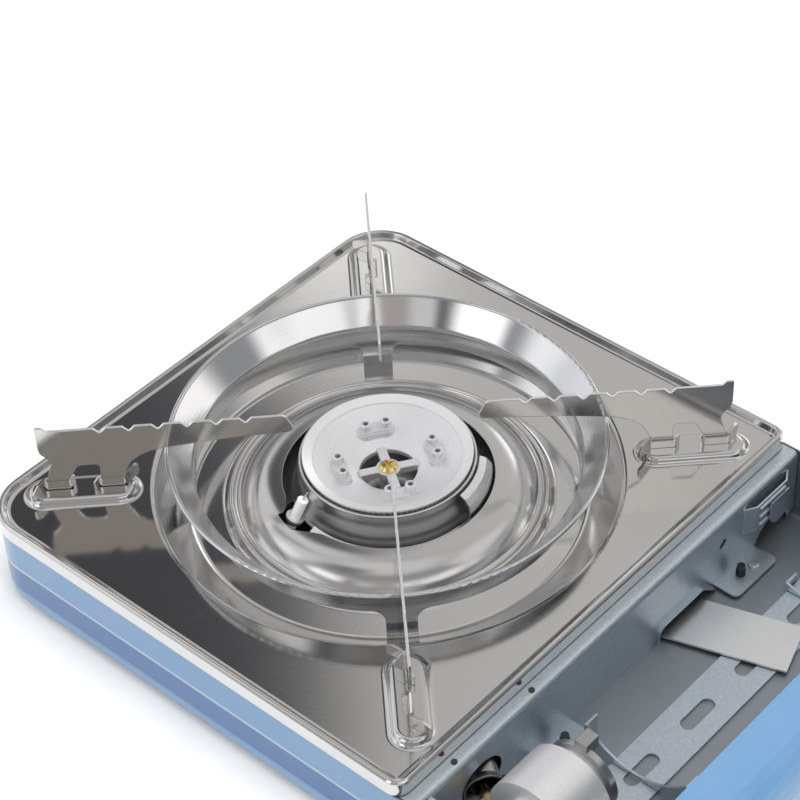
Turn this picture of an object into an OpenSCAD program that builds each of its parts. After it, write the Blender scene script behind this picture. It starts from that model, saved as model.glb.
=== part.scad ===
// Portable butane cassette stove: a pressed steel case with a polished top plate, a ring burner under
// four bladed pan supports, and a cartridge bay with its regulator, lock lever and hinged lid.
// The burner axis is the working centre; the whole model is then moved so that the middle of its
// footprint, with the lid open, lies at the origin and the feet stand on Z = 0.

/* [Case] */
// Height of the top plate above the table
deck_h = 50; // [48:1:62]
// Width of the top plate
plate_w = 254; // [252:1:310]
// Depth of the top plate
plate_d = 272; // [268:1:330]
// Distance from the middle of the top plate back to the burner axis
burner_back = 2; // [0:0.5:4]
// Width of the cartridge bay beside the top plate
bay_w = 86; // [84:1:104]
// Radius of the two free corners of the top plate
corner_r = 24; // [14:1:29]
// Thickness of the case sheet
case_t = 0.8; // [0.6:0.1:1.2]
// Thickness of the stainless sheet
plate_t = 0.6; // [0.5:0.1:0.8]
// Height of the rubber feet
foot_h = 5; // [3:0.5:8]

/* [Top plate] */
// Width of the raised rim round the top plate
rim_w = 6; // [5:0.5:7]
// Height of the raised rim
rim_h = 3.2; // [2:0.1:4]
// Height of the skirt below the plate surface
skirt_h = 4.5; // [4:0.5:6]
// Radius at which the round depression starts
dish_r = 110; // [108:0.5:114]
// Depth of the flat channel that the wind guard stands in
channel_depth = 13.3; // [10:0.1:15]
// Outer radius of the inner bead
bead_r = 73; // [70:0.5:76]
// Radius of the burner opening
opening_r = 48.6; // [48:0.1:52]
// Height of the pads that carry the pan supports
pad_h = 3.2; // [2:0.1:4]
// Half width of a pad at its top
pad_half_w = 7; // [6:0.5:8]

/* [Wind guard] */
// Outer radius of the wind guard at its lip
guard_r = 100; // [83:0.5:101]
// Height of the lip above the plate
guard_h = 22.6; // [18:0.2:23]
// Height of the crease above the plate
crease_h = 10.6; // [8:0.2:12]
// Radial width of the flare
flare_w = 11.5; // [9:0.5:13]
// Thickness of the wind guard sheet
guard_t = 0.6; // [0.5:0.1:0.8]
// Width of a guard leg
leg_w = 14; // [10:1:18]

/* [Pan supports] */
// Height of the pan rest above the plate
rest_h = 38.5; // [36:0.5:44]
// Thickness of a blade
blade_t = 1.2; // [1:0.1:1.6]
// Radius of the inner tip of a blade
tip_r = 42; // [36:0.5:50]
// Radius of the outer end of a blade
blade_end_r = 156; // [150:0.5:158]
// Distance between two notches
notch_pitch = 13; // [11:0.5:14]
// Depth of a notch
notch_depth = 2.4; // [1:0.1:3]
// Number of notches
notch_count = 6; // [4:1:7]

/* [Burner] */
// Radius of the burner head
head_r = 39; // [36:0.5:39.5]
// Height of the head's rim above the plate
head_h = 12.4; // [11:0.1:14]
// Radius of the ring of ports
port_ring_r = 22.6; // [20:0.1:24]
// Outer radius of a port
port_r = 2.5; // [2:0.1:2.8]
// Radius of a port's bore
port_bore_r = 1.3; // [1:0.1:1.6]
// Direction of the first spider arm
spider_turn = 56; // [0:1:89]
// Outer radius of the mixing tube
tube_r = 8; // [7:0.5:9]
// Height of the mixing tube's axis above the table
tube_z = 24; // [23:0.5:27]
// Distance from the case front back to the gas jet's line at the bay wall
jet_back = 43.1; // [40:0.1:46]
// Direction of the heat panel's upright tab
panel_turn = 21; // [15:1:25]
// Distance of the heat panel's strip behind the burner axis at the bay wall
panel_back = 43; // [36:0.5:46]
// Width of the heat panel's strip
panel_w = 28; // [20:1:32]

/* [Cartridge bay] */
// Radius of the gas cartridge
cartridge_r = 33.5; // [33:0.5:34]
// Height of the cartridge's axis above the table
cartridge_z = 42.5; // [42:0.5:46]
// Travel of the cartridge carriage
carriage_travel = 5; // [3:0.5:6]
// Height of the closed lid above the top plate
lid_rise = 29; // [28:0.5:40]
// Opening angle of the lid
lid_open = 112; // [95:1:115]
// Radius of the hinge pins
pin_r = 1.5; // [1.2:0.1:1.8]

/* [Controls] */
// Radius of the control knob
knob_r = 18; // [15:0.5:18.5]
// Depth of the control knob
knob_depth = 17; // [12:0.5:22]
// Radius of the valve shaft
shaft_r = 3; // [2.5:0.1:3.5]
// Height of the knob axis above the table
knob_z = 25; // [24.5:0.5:27]
// Travel of the lock lever
lever_travel = 14; // [10:0.5:15]

/* [Hidden] */
$fn = 72;

steel = "silver";
galvanised = "lightslategray";
paint = "cornflowerblue";
black = [0.12, 0.12, 0.13];

run_gap = 0.05;
slide_gap = 0.3;

left_x = -plate_w / 2;
plate_x = plate_w / 2;
right_x = plate_x + bay_w;
front_y = -plate_d / 2 - burner_back;
rear_y = plate_d / 2 - burner_back;
floor_z = foot_h + case_t;
case_gap = plate_t + 0.1;
case_front = front_y + case_gap;
case_rear = rear_y - case_gap;
case_left = left_x + case_gap;
bay_corner_r = 20;
plate_corner_r = rim_w + 1;
bay_top = deck_h - skirt_h - 0.5;
wall_x = plate_x + 7;
bay_x = (wall_x + right_x) / 2;

crease_r = guard_r - flare_w;
channel_out = max(91.3, crease_r + 2.8);
bead_at = min(bead_r, crease_r - guard_t - 2.9);
tube_turn = atan2(front_y + jet_back, wall_x);
strip_turn = atan2(panel_back, wall_x);
foot_in = [118.7, 130.9];
foot_out = [143.2, 155.4];
strip_top = pad_h + 5.8;
feet_low = pad_h;
pad_from = dish_r + 5.4 + pad_half_w;
pad_to = foot_out[1];
rivet_r = 1.6;
screw_r = 1.9;

seat_y = front_y + 61;
carriage_y = seat_y + 193;
carriage_front = seat_y + carriage_travel + 2;
tube_end = (wall_x + 5) / cos(tube_turn);
neck_r = 11;
base_z = -6.3;
hinge_x = right_x + 3.6;
hinge_z = bay_top + 1.6;
hinge_at = [front_y + 44, rear_y - 40];
lid_low = bay_top + 0.6;
lid_left = plate_x + 2;
lid_right = right_x + 0.1;
lid_top = deck_h + lid_rise;
lever_x = wall_x + 8;
lever_z = foot_h + 31;
lead_r = 1;

function unit(v) = v / norm(v);
function left_of(v) = [-v[1], v[0]];
function turn(p, a) = [p[0] * cos(a) - p[1] * sin(a), p[0] * sin(a) + p[1] * cos(a)];
function at(r, a) = [r * cos(a), r * sin(a)];

// Side direction of a path at its point i, lengthened so that parallel sides stay parallel
function side(p, i) =
    let (before = i > 0 ? unit(p[i] - p[i - 1]) : unit(p[1] - p[0]),
         after = i < len(p) - 1 ? unit(p[i + 1] - p[i]) : before,
         mid = unit(left_of(before) + left_of(after)))
    mid / max(0.4, mid * left_of(before));

// Outline of a sheet whose one face follows path p and whose thickness lies to its left
function sheet(p, t) = concat(p, [for (i = [len(p) - 1:-1:0]) p[i] + t * side(p, i)]);

// Arc of radius r that replaces corner b between a and c
function bend(a, b, c, r, n) =
    let (u = unit(a - b), v = unit(c - b), open = acos(max(-1, min(1, u * v))))
    r <= 0 || open > 178 ? [b] :
    let (run = min(r / tan(open / 2), 0.46 * norm(a - b), 0.46 * norm(c - b)),
         rr = run * tan(open / 2), o = b + unit(u + v) * rr / sin(open / 2),
         s = b + u * run - o, e = b + v * run - o,
         from = atan2(s[1], s[0]), raw = atan2(e[1], e[0]) - from,
         sweep = raw > 180 ? raw - 360 : raw < -180 ? raw + 360 : raw)
    [for (k = [0:n]) o + at(rr, from + sweep * k / n)];

// Path with all its inner corners rounded
function soften(p, r, n = 4) =
    [p[0], for (i = [1:len(p) - 2]) each bend(p[i - 1], p[i], p[i + 1], r, n), p[len(p) - 1]];

// Closed outline with all its corners rounded
function soft_loop(p, r, n = 4) =
    [for (i = [0:len(p) - 1])
        each bend(p[(i + len(p) - 1) % len(p)], p[i], p[(i + 1) % len(p)], r, n)];

// Rounded rectangle; r lists the radii front left, front right, rear right and rear left
module round_rect(x0, x1, y0, y1, r) {
    corners = [[x0, y0], [x1, y0], [x1, y1], [x0, y1]];
    inward = [[1, 1], [-1, 1], [-1, -1], [1, -1]];
    polygon([for (i = [0:3]) each [for (k = [0:12])
        corners[i] + inward[i] * r[i] + at(r[i], 180 + 90 * i + 90 * k / 12)]]);
}

// Sweeps a wall profile round a rounded rectangle; the profile's X runs inward from the outline
module wall_round(x0, x1, y0, y1, r) {
    runs = [
        [[x0 + r[0], y0], 0, x1 - x0 - r[0] - r[1]],
        [[x1, y0 + r[1]], 90, y1 - y0 - r[1] - r[2]],
        [[x1 - r[2], y1], 180, x1 - x0 - r[2] - r[3]],
        [[x0, y1 - r[3]], 270, y1 - y0 - r[3] - r[0]]
    ];
    centres = [[x0 + r[0], y0 + r[0]], [x1 - r[1], y0 + r[1]], [x1 - r[2], y1 - r[2]],
        [x0 + r[3], y1 - r[3]]];
    for (i = [0:3]) {
        translate(runs[i][0]) rotate([0, 0, runs[i][1]]) rotate([90, 0, 90])
            linear_extrude(runs[i][2]) children();
        translate(centres[i]) rotate([0, 0, 180 + 90 * i]) rotate_extrude(angle = 90)
            translate([r[i], 0]) mirror([1, 0]) children();
    }
}

// Route with its corners rounded over a run of length b
function soft_route(p, b) = concat([p[0]],
    [for (i = [1:len(p) - 2])
        let (u = p[i - 1] - p[i], v = p[i + 1] - p[i], run = min(b, 0.45 * norm(u), 0.45 * norm(v)))
        for (t = [0:0.25:1]) p[i] + unit(u) * run * pow(1 - t, 2) + unit(v) * run * pow(t, 2)],
    [p[len(p) - 1]]);

// Round wire of radius r swept along the route p
module wire(p, r, b, sides = 8) {
    route = soft_route(p, b);
    last = len(route) - 1;
    dirs = [for (i = [0:last]) unit(route[min(i + 1, last)] - route[max(i - 1, 0)])];
    first = unit(cross(dirs[0], abs(dirs[0][2]) > 0.9 ? [1, 0, 0] : [0, 0, 1]));
    across = [for (i = 0, n = first; i <= last;
        i = i + 1, n = i <= last ? unit(n - dirs[i] * (n * dirs[i])) : n) n];
    rings = [for (i = [0:last], k = [0:sides - 1])
        route[i] + r * (cos(360 * k / sides) * across[i]
            + sin(360 * k / sides) * cross(dirs[i], across[i]))];
    polyhedron(rings, concat(
        [[for (k = [sides - 1:-1:0]) k]], [[for (k = [0:sides - 1]) last * sides + k]],
        [for (i = [0:last - 1], k = [0:sides - 1])
            let (a = i * sides + k, b = i * sides + (k + 1) % sides)
            each [[a, b, b + sides], [a, b + sides, a + sides]]]));
}

module tube(r, inner, h) difference() {
    cylinder(r = r, h = h);
    translate([0, 0, -1]) cylinder(r = inner, h = h + 2);
}

// Flat bar with round ends along X
module bar(length, half, h) {
    translate([-length / 2, -half, 0]) cube([length, 2 * half, h]);
    for (s = [-1, 1]) translate([s * length / 2, 0, 0]) cylinder(r = half, h = h);
}

// Cross-head screw with its head on Z = 0 and its shank below
module screw(head_r, head_h, shank_r, shank) {
    difference() {
        rotate_extrude() polygon([[0, 0], [head_r, 0], [head_r, head_h * 0.35],
            [head_r * 0.72, head_h * 0.85], [head_r * 0.3, head_h], [0, head_h]]);
        for (a = [0, 90]) rotate([0, 0, a])
            translate([-head_r * 0.55, -head_r * 0.11, head_h * 0.45])
                cube([head_r * 1.1, head_r * 0.22, head_h]);
    }
    translate([0, 0, -shank]) cylinder(r = shank_r, h = shank);
}

module on_deck() translate([0, 0, deck_h]) children();
module along_tube() translate([0, 0, tube_z]) rotate([0, 0, tube_turn]) rotate([0, 90, 0])
    children();
module facing_front(x, y, z) translate([x, y, z]) rotate([90, 0, 0]) children();

// ---- case ----

module case_profile() polygon(sheet(soften([[7, foot_h], [1.2, foot_h], [0, foot_h + 7],
    [0, deck_h - 1.2]], 7, 6), -case_t));

module body_pan() color(paint) difference() {
    union() {
        wall_round(case_left, right_x, case_front, case_rear,
            [corner_r - case_gap, bay_corner_r, bay_corner_r, corner_r - case_gap])
            case_profile();
        translate([0, 0, foot_h]) linear_extrude(case_t)
            round_rect(case_left + 7, right_x - 7, case_front + 7, case_rear - 7,
                [corner_r - case_gap - 7, bay_corner_r - 7, bay_corner_r - 7,
                 corner_r - case_gap - 7]);
        for (y = screw_tab_y) translate([wall_x + tab_screw_in, y, floor_z])
            cylinder(r = 5, h = tab_z - floor_z);
    }
    translate([plate_x - plate_corner_r - 0.5, front_y - 1, bay_top])
        cube([bay_w + 19, plate_d + 2, deck_h]);
    for (p = foot_places) translate([p[0], p[1], 0]) cylinder(r = 3 + run_gap, h = deck_h / 3);
    facing_front(bay_x, case_front + 2, knob_z) cylinder(r = shaft_r + 1, h = 4);
    translate([lever_x - 2, case_front - 1, lever_z - lever_travel - 4.5])
        cube([4, 4, lever_travel + 9]);
    for (i = [-3:3]) translate([i * 13 - 20, rear_y - 5, deck_h - 22]) vent_slot();
    for (i = [-3:3]) translate([left_x + 5, i * 13 - burner_back, deck_h - 22])
        rotate([0, 0, 90]) vent_slot();
    for (x = [-70, 70], i = [-2:2]) translate([x, i * 16 - 30, foot_h - 1]) bar(34, 2.5, 4);
    for (p = case_screw_at) translate([p[0], p[1], 0]) cylinder(r = screw_r + 0.1, h = floor_z + 4);
    for (p = plate_screw_at) translate(p[0]) rotate(p[1])
        translate([0, 0, -4]) cylinder(r = 1.3, h = 8);
    for (y = hinge_at, s = [-1, 1]) translate([right_x - 4, y + s * 7.5, bay_top - 7])
        rotate([0, 90, 0]) cylinder(r = rivet_r + run_gap, h = 8);
}

module vent_slot() {
    rotate([90, 0, 0]) translate([0, 0, -10]) linear_extrude(20)
        union() {
            translate([-1.6, -8]) square([3.2, 16]);
            for (s = [-1, 1]) translate([0, 8 * s]) circle(r = 1.6);
        }
}

foot_places = [[case_left + 24, case_front + 26], [case_left + 24, case_rear - 26],
    [right_x - 21, case_front + 26], [right_x - 21, case_rear - 26]];

module rubber_feet() color(black) for (p = foot_places) translate([p[0], p[1], 0]) {
    rotate_extrude() polygon([[0, 0], [6.2, 0], [7, 0.8], [8, foot_h], [0, foot_h]]);
    translate([0, 0, foot_h]) cylinder(r = 3, h = case_t);
    translate([0, 0, floor_z]) rotate_extrude()
        polygon([[0, 0], [4, 0], [3.4, 1.4], [2, 2], [0, 2]]);
}

// ---- top plate ----

plate_screw_at = [
    [[left_x, front_y + 70, deck_h - 1.9], [0, -90, 0]],
    [[left_x, rear_y - 70, deck_h - 1.9], [0, -90, 0]],
    [[-70, rear_y, deck_h - 1.9], [-90, 0, 0]],
    [[60, rear_y, deck_h - 1.9], [-90, 0, 0]]
];

module plate_screws() color(steel) for (p = plate_screw_at) translate(p[0]) rotate(p[1])
    screw(2.4, 1.2, 1.25, 3.2);

module rim_profile() polygon(sheet(soften([[rim_w + 0.6, 0], [rim_w, 0], [rim_w - 1.4, 0.25],
    [2.8, rim_h - 0.15], [1.3, rim_h], [0, rim_h - 1.1], [0, -skirt_h]], 0.9, 3), plate_t));

dish_path = soften([[dish_r + 1, 0], [dish_r - 3, 0], [channel_out, -channel_depth],
    [bead_at + 2.2, -channel_depth], [bead_at + 0.4, -9.4], [bead_at - 1, -8.8],
    [bead_at - 2.6, -11], [bead_at - 5, -10.2], [bead_at - 9, -5.6], [bead_at - 16, -2],
    [opening_r, -1]], 4.5, 6);

// Half profile of a pad's upper face, and of its underside
pad_edge = soften([[0, pad_h], [pad_half_w, pad_h], [pad_half_w + 2.4, 0],
    [pad_half_w + 6, 0]], 3, 6);
pad_face = [for (i = [0:len(pad_edge) - 2]) pad_edge[i]];
pad_under = [for (i = [0:len(pad_edge) - 2]) pad_edge[i] - plate_t * side(pad_edge, i)];

// Solid under a pad's half profile: a bar with round ends, closed below at height low
module pad(face, low) {
    last = len(face) - 1;
    length = pad_to - pad_from;
    translate([pad_from, 0, 0]) {
        rotate([90, 0, 90]) linear_extrude(length)
            polygon(concat([[-face[last][0], low]],
                [for (i = [last:-1:1]) [-face[i][0], face[i][1]]], face,
                [[face[last][0], low]]));
        for (x = [0, length]) translate([x, 0, 0]) rotate_extrude()
            polygon(concat([[0, low]], face, [[face[last][0], low]]));
    }
}

// Notch beside the opening that lets the electrode through
module electrode_notch() {
    polygon(concat([at(opening_r - 3, -124), at(opening_r, -122), at(opening_r + 1.6, -115.5),
        at(opening_r + 4.6, -112.5)], [for (a = [-112.5:3:-100.5]) at(opening_r + 7, a)],
        [at(opening_r + 5.6, -98), at(opening_r + 2.2, -92), at(opening_r, -86),
        at(opening_r - 3, -84)]));
}

module top_plate() color(steel) on_deck() difference() {
    union() {
        wall_round(left_x, plate_x, front_y, rear_y,
            [corner_r, plate_corner_r, plate_corner_r, corner_r]) rim_profile();
        difference() {
            translate([0, 0, -plate_t]) linear_extrude(plate_t)
                round_rect(left_x + rim_w, plate_x - rim_w, front_y + rim_w, rear_y - rim_w,
                    [corner_r - rim_w, plate_corner_r - rim_w, plate_corner_r - rim_w,
                     corner_r - rim_w]);
            translate([0, 0, -5]) cylinder(r = dish_r, h = 10);
        }
        rotate_extrude($fn = 96) polygon(sheet(dish_path, plate_t));
        for (k = [0:3]) rotate([0, 0, 45 + 90 * k]) pad(pad_face, -0.2);
    }
    for (k = [0:3]) rotate([0, 0, 45 + 90 * k]) {
        pad(pad_under, -plate_t - 0.2);
        translate([pad_to + 2.6, 0, pad_h - 0.3]) cylinder(r1 = 0.7, r2 = 1.3, h = 0.35);
        for (f = [foot_in, foot_out])
            translate([f[0] - slide_gap, -blade_t / 2 - slide_gap, -5])
                cube([f[1] - f[0] + 2 * slide_gap, blade_t + 2 * slide_gap, 12]);
    }
    translate([0, 0, -8]) linear_extrude(14) electrode_notch();
    for (p = plate_screw_at) translate(p[0] - [0, 0, deck_h]) rotate(p[1])
        translate([0, 0, -3]) cylinder(r = 1.3, h = 6);
}

// ---- wind guard ----

guard_path = soften([[guard_r - 0.9, guard_h - 0.6], [crease_r, crease_h], [crease_r, 1.1]], 3, 8);
leg_path = [[crease_r, 1.1], [crease_r, -6.2], [crease_r + 1, -channel_depth - 0.6]];

module guard_leg() {
    reach = leg_w / 2 + 6;
    drop = channel_depth + 1.1;
    intersection() {
        rotate([90, 0, 90]) linear_extrude(guard_r) difference() {
            translate([-reach, -channel_depth]) square([2 * reach, drop]);
            for (s = [-1, 1]) {
                translate([s * reach - (s < 0 ? 0 : 6), -channel_depth - 1])
                    square([6, drop - 5]);
                translate([s * reach, 1.1 - 6]) circle(r = 6);
            }
        }
        rotate_extrude($fn = 96) polygon(sheet(leg_path, -guard_t));
    }
}

module wind_guard() color(steel) on_deck() {
    rotate_extrude($fn = 96) polygon(sheet(guard_path, -guard_t));
    translate([0, 0, guard_h - 1]) rotate_extrude($fn = 96)
        translate([guard_r - 1, 0]) circle(r = 1, $fn = 20);
    for (k = [0:3]) rotate([0, 0, 45 + 90 * k]) guard_leg();
}

// ---- pan supports ----

function notch(i) =
    let (r = 127.5 - notch_pitch * i)
    [[r + 2.7, rest_h], [r + 0.5, rest_h - notch_depth], [r - 0.5, rest_h - notch_depth],
     [r - 2.7, rest_h]];

blade_outline = concat(
    [[foot_out[1] - 1, strip_top - 0.6], [foot_out[1] - 1.8, 10.6], [blade_end_r - 5, 19.2],
     [blade_end_r - 3.6, 22.4], [blade_end_r - 0.8, 25.4], [blade_end_r, 29],
     [blade_end_r, rest_h + 2.1], [blade_end_r - 3.3, rest_h + 2.1],
     [blade_end_r - 5.2, rest_h]],
    [for (i = [0:notch_count - 1]) each notch(i)],
    [[tip_r + 4.2, rest_h], [tip_r + 2.6, rest_h - 0.8], [tip_r - 0.4, 31.2],
     [tip_r, 29.6], [tip_r + 1.6, 28.9], [65, 27.8], [83.6, 26.4], [98.8, 24.6],
     [105.5, 23.3], [111, 21], [115.4, 17.4], [118.2, 12.4],
     [foot_in[0] + 1, strip_top - 0.6], [foot_in[1] - 1, strip_top - 0.6],
     [129.4, 14.6], [129.9, 16.4], [131.6, 17.2], [137.6, 17.2], [139.6, 16.6],
     [140.8, 14.6], [foot_out[0] + 1, strip_top - 0.6]]);

// Foot of a blade: an upright strip bent in plan, with a large ear at one end and a curl at the
// other; the strip is joggled beside the blade and cut to the outline of its ears
module foot(big, a, small, c) {
    s = sign(big - small);
    tip = [big - 0.4 * s, 0] + at(9.4, a);
    curl = [small + 0.4 * s, 0] + at(3.4, c);
    plan = [tip, [big - 0.4 * s, 0], [small + 0.4 * s, 0], curl];
    intersection() {
        translate([0, blade_t / 2 - 0.45, feet_low]) linear_extrude(8)
            polygon(sheet(soften(plan, 1.6, 5), s * blade_t));
        rotate([90, 0, 0]) translate([0, 0, -20]) linear_extrude(40)
            polygon(soft_loop([[tip[0] + s, feet_low], [tip[0] + s, feet_low + 3.6],
                [tip[0] - 1.8 * s, feet_low + 6.4], [big - 0.8 * s, feet_low + 6.4],
                [big - 2.2 * s, strip_top], [small + 1.4 * s, strip_top],
                [small - 0.6 * s, feet_low + 5.4], [curl[0] - s, feet_low + 4.6],
                [curl[0] - s, feet_low]], 0.8, 3));
    }
}

module blade() {
    rotate([90, 0, 0]) translate([0, 0, -blade_t / 2]) linear_extrude(blade_t) {
        polygon(blade_outline);
        for (f = [foot_in, foot_out]) translate([f[0] + 0.6, -plate_t - 2.6])
            square([f[1] - f[0] - 1.2, feet_low + 4]);
    }
    foot(foot_out[1], 58, foot_out[0], 236);
    foot(foot_in[0], 230, foot_in[1], 56);
}

module pan_support(a) color(steel) on_deck() rotate([0, 0, a]) blade();
module pan_support_rear_right() pan_support(45);
module pan_support_rear_left() pan_support(135);
module pan_support_front_left() pan_support(225);
module pan_support_front_right() pan_support(315);

// ---- burner ----

cup_top = head_h - 2.8;
spider_z = 2.2;
hub_low = spider_z - 3.5;
dish_edge_r = head_r - 5;

module kidney(half, h) {
    rotate([0, 0, -13]) rotate_extrude(angle = 26)
        translate([port_ring_r - half, 0]) square([2 * half, h]);
    for (a = [-13, 13]) rotate([0, 0, a]) translate([port_ring_r, 0, 0])
        cylinder(r = half, h = h);
}

module head_shell() {
    rotate_extrude($fn = 96) polygon([[head_r - 0.45, head_h - 1.1], [head_r, head_h - 1],
        [head_r, head_h - 0.4], [head_r - 0.12, head_h - 0.15], [head_r - 0.4, head_h],
        [dish_edge_r + 0.5, head_h - 1.3], [dish_edge_r + 0.15, head_h - 1.5],
        [dish_edge_r, head_h - 1.9], [13.5, 1.1], [13.25, 0.8], [13.2, 0.4], [13.2, -1.3],
        [14.2, -1.6], [dish_edge_r, head_h - 4.4], [dish_edge_r + 2, head_h - 4.6],
        [dish_edge_r + 2, head_h - 7.5], [head_r - 0.9, head_h - 7.5],
        [head_r - 0.9, head_h - 1.75], [head_r - 0.45, head_h - 1.75]]);
}

port_top = head_h - 1.5;

module burner_head() color([0.78, 0.79, 0.8]) on_deck() rotate([0, 0, spider_turn]) difference() {
    union() {
        head_shell();
        for (k = [0:3]) rotate([0, 0, 90 * k]) {
            translate([0, 0, 2]) kidney(3.2, 5.2);
            translate([0, 0, 2]) kidney(3.9, 4.2);
            for (a = [-12.2, 12.2]) rotate([0, 0, a]) translate([port_ring_r, 0, 2]) {
                cylinder(r = port_r, h = port_top - 2.3, $fn = 32);
                translate([0, 0, port_top - 2.3])
                    cylinder(r1 = port_r, r2 = port_r - 0.3, h = 0.3, $fn = 32);
            }
            translate([0, -2.15, hub_low]) cube([13.8, 4.3, 3.5]);
        }
        translate([0, 0, hub_low]) cylinder(r = 5.6, h = 3.5);
    }
    for (k = [0:3], a = [-12.2, 12.2]) rotate([0, 0, 90 * k + a])
        translate([port_ring_r, 0, -6]) cylinder(r = port_bore_r, h = 24, $fn = 24);
    translate([0, 0, hub_low - 1]) cylinder(r = screw_r + 0.15, h = 8);
    for (k = [0:47]) rotate([0, 0, 3.75 * k])
        translate([-head_r, -0.5, cup_top - 1.2]) slot_pair();
}

// Flame slots cut through the head's skirt on both sides of the axis
module slot_pair() for (x = [0, head_r + dish_edge_r + 1.5]) translate([x, 0, 0])
    cube([head_r - dish_edge_r - 1.5, 1, 2]);

module burner_screw() color("goldenrod") on_deck() translate([0, 0, spider_z])
    rotate([0, 0, spider_turn + 20]) screw(4.4, 2.3, screw_r, 14);

cup_path = soften([[head_r + 1.3, cup_top], [head_r + 1.4, 4], [head_r + 3.6, -2.6],
    [head_r + 5.2, base_z + 0.87]], 9, 6);

module burner_cup() color("gray") on_deck() {
    rotate_extrude($fn = 96) polygon(sheet(cup_path, -1));
    translate([0, 0, cup_top]) rotate_extrude($fn = 96)
        translate([head_r + 0.85, 0]) circle(r = 0.7, $fn = 20);
}

module burner_base() color("darkgray") difference() {
    union() {
        on_deck() rotate_extrude($fn = 96) polygon(sheet(soften([[head_r + 5.6, base_z - 1.4],
            [head_r - 4, base_z - 1.4], [head_r - 10, base_z - 7], [neck_r, -16.4],
            [neck_r, -deck_h + 14.5], [0, -deck_h + 14.5]], 2, 3), -1.4));
        translate([0, 0, 14.5]) cylinder(r = 4.2, h = deck_h - 14.5 + hub_low);
        spark_axis() translate([0, 0, -spark_down - 1.4]) cylinder(r = 4.3, h = 1.4);
    }
    spark_axis() translate([0, 0, -insulator_l]) cylinder(r = 2.6 + run_gap, h = 20);
    on_deck() translate([0, 0, hub_low - 15]) cylinder(r = screw_r + 0.1, h = 16);
    along_tube() translate([0, 0, 6]) cylinder(r = tube_r + run_gap, h = 8);
}

module burner_bracket() color(galvanised) {
    half = 34;
    low = floor_z;
    rotate([0, 0, tube_turn + 90]) difference() {
        translate([0, 15, 0]) rotate([90, 0, 0]) linear_extrude(30)
            polygon(sheet(soften([[-half, low + 1.2], [-half + 12, low + 1.2],
                [-half + 14, 14.5], [half - 14, 14.5], [half - 12, low + 1.2],
                [half, low + 1.2]], 1.5, 3), -1.2));
        for (s = [-1, 1]) translate([s * (half - 6), 0, 0])
            cylinder(r = screw_r + 0.1, h = 14);
    }
}

module mixing_tube() color(steel) along_tube() difference() {
    union() {
        translate([0, 0, neck_r - 1.4]) cylinder(r = tube_r, h = tube_end - neck_r + 1.4);
        translate([0, 0, tube_end - 4]) cylinder(r1 = tube_r, r2 = tube_r + 1.5, h = 4);
    }
    translate([0, 0, neck_r - 3]) cylinder(r = tube_r - 0.9, h = tube_end);
    translate([0, 0, tube_end - 4]) cylinder(r1 = tube_r - 0.9, r2 = tube_r + 0.6, h = 4.1);
    for (a = [0, 90]) rotate([0, 0, a]) translate([-tube_r - 3, -3, tube_end - 20])
        cube([2 * tube_r + 6, 6, 9]);
}

module gas_jet() color("goldenrod") along_tube() {
    translate([0, 0, tube_end - 3]) difference() {
        union() {
            cylinder(r1 = 1.6, r2 = 3.5, h = 5);
            translate([0, 0, 5]) cylinder(r = 3.5, h = 18);
            translate([0, 0, 9]) cylinder(r = 5.2, h = 4, $fn = 6);
        }
        translate([0, 0, -1]) cylinder(r = 0.6, h = 20);
    }
}

// ---- heat panel: upright tab, strip into the bay, and two folded feet on the floor ----

panel_out = opening_r - 1.3;
panel_z = floor_z + 1.8;
panel_end = (bay_x + 12) / cos(strip_turn);
panel_path = soften([[panel_out - 5.7, deck_h + 9], [panel_out - 2.7, deck_h + 7.6],
    [panel_out - 0.4, deck_h + 4.4], [panel_out, deck_h], [panel_out, panel_z]], 2, 4);

module heat_panel() color("lightgray") {
    rotate([0, 0, panel_turn - 19]) {
        rotate_extrude(angle = 38, $fn = 96) polygon(sheet(panel_path, -1.1));
        rotate_extrude(angle = 38, $fn = 96) translate([panel_out - 1.1, panel_z])
            square([6, 1.1]);
    }
    rotate([0, 0, strip_turn]) difference() {
        translate([panel_out - 12, -panel_w / 2, panel_z])
            cube([panel_end - panel_out + 12, panel_w, 1.1]);
        translate([0, 0, panel_z - 1]) cylinder(r = panel_out - 0.5, h = 4);
    }
    rotate([0, 0, strip_turn]) for (s = [-1, 1])
        translate([98, s * (panel_w / 2 - 0.55) - 0.55, floor_z]) cube([14, 1.1, 2.4]);
}

// ---- igniter ----

spark_top = [-14.5, -41, 4];
spark_lean = [3.5, 3.7, 12];
spark_dir = unit(spark_lean);
spark_tilt = acos(spark_dir[2]);
spark_turn = atan2(spark_dir[1], spark_dir[0]);
spark_down = (spark_top[2] - base_z) / spark_dir[2];
insulator_l = 22;

module spark_axis() on_deck() translate(spark_top) rotate([0, 0, spark_turn])
    rotate([0, spark_tilt, 0]) children();

module electrode_insulator() color("white") spark_axis() difference() {
    union() {
        translate([0, 0, -insulator_l]) cylinder(r = 2.6, h = insulator_l - 0.5);
        translate([0, 0, -0.5]) cylinder(r1 = 2.6, r2 = 2.1, h = 0.5);
    }
    translate([0, 0, -insulator_l - 1]) cylinder(r = 0.7, h = insulator_l + 2);
}

module electrode_wire() color("gray") on_deck()
    wire([spark_top - spark_dir * (insulator_l + 3), spark_top + spark_dir * 1.5,
        [-12, -40.6, 9]], 0.65, 1.6);

// Spring washer that holds the insulator under the ear of the burner base
module electrode_clip() color(galvanised) spark_axis() translate([0, 0, -spark_down - 2.4])
    difference() {
        tube(4.1, 2.6 + run_gap, 1);
        for (a = [0, 120, 240]) rotate([0, 0, a]) translate([2, -0.5, -1]) cube([1.8, 1, 3]);
    }

// ---- gas control ----

regulator_screw_y = [14, 32];

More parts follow.
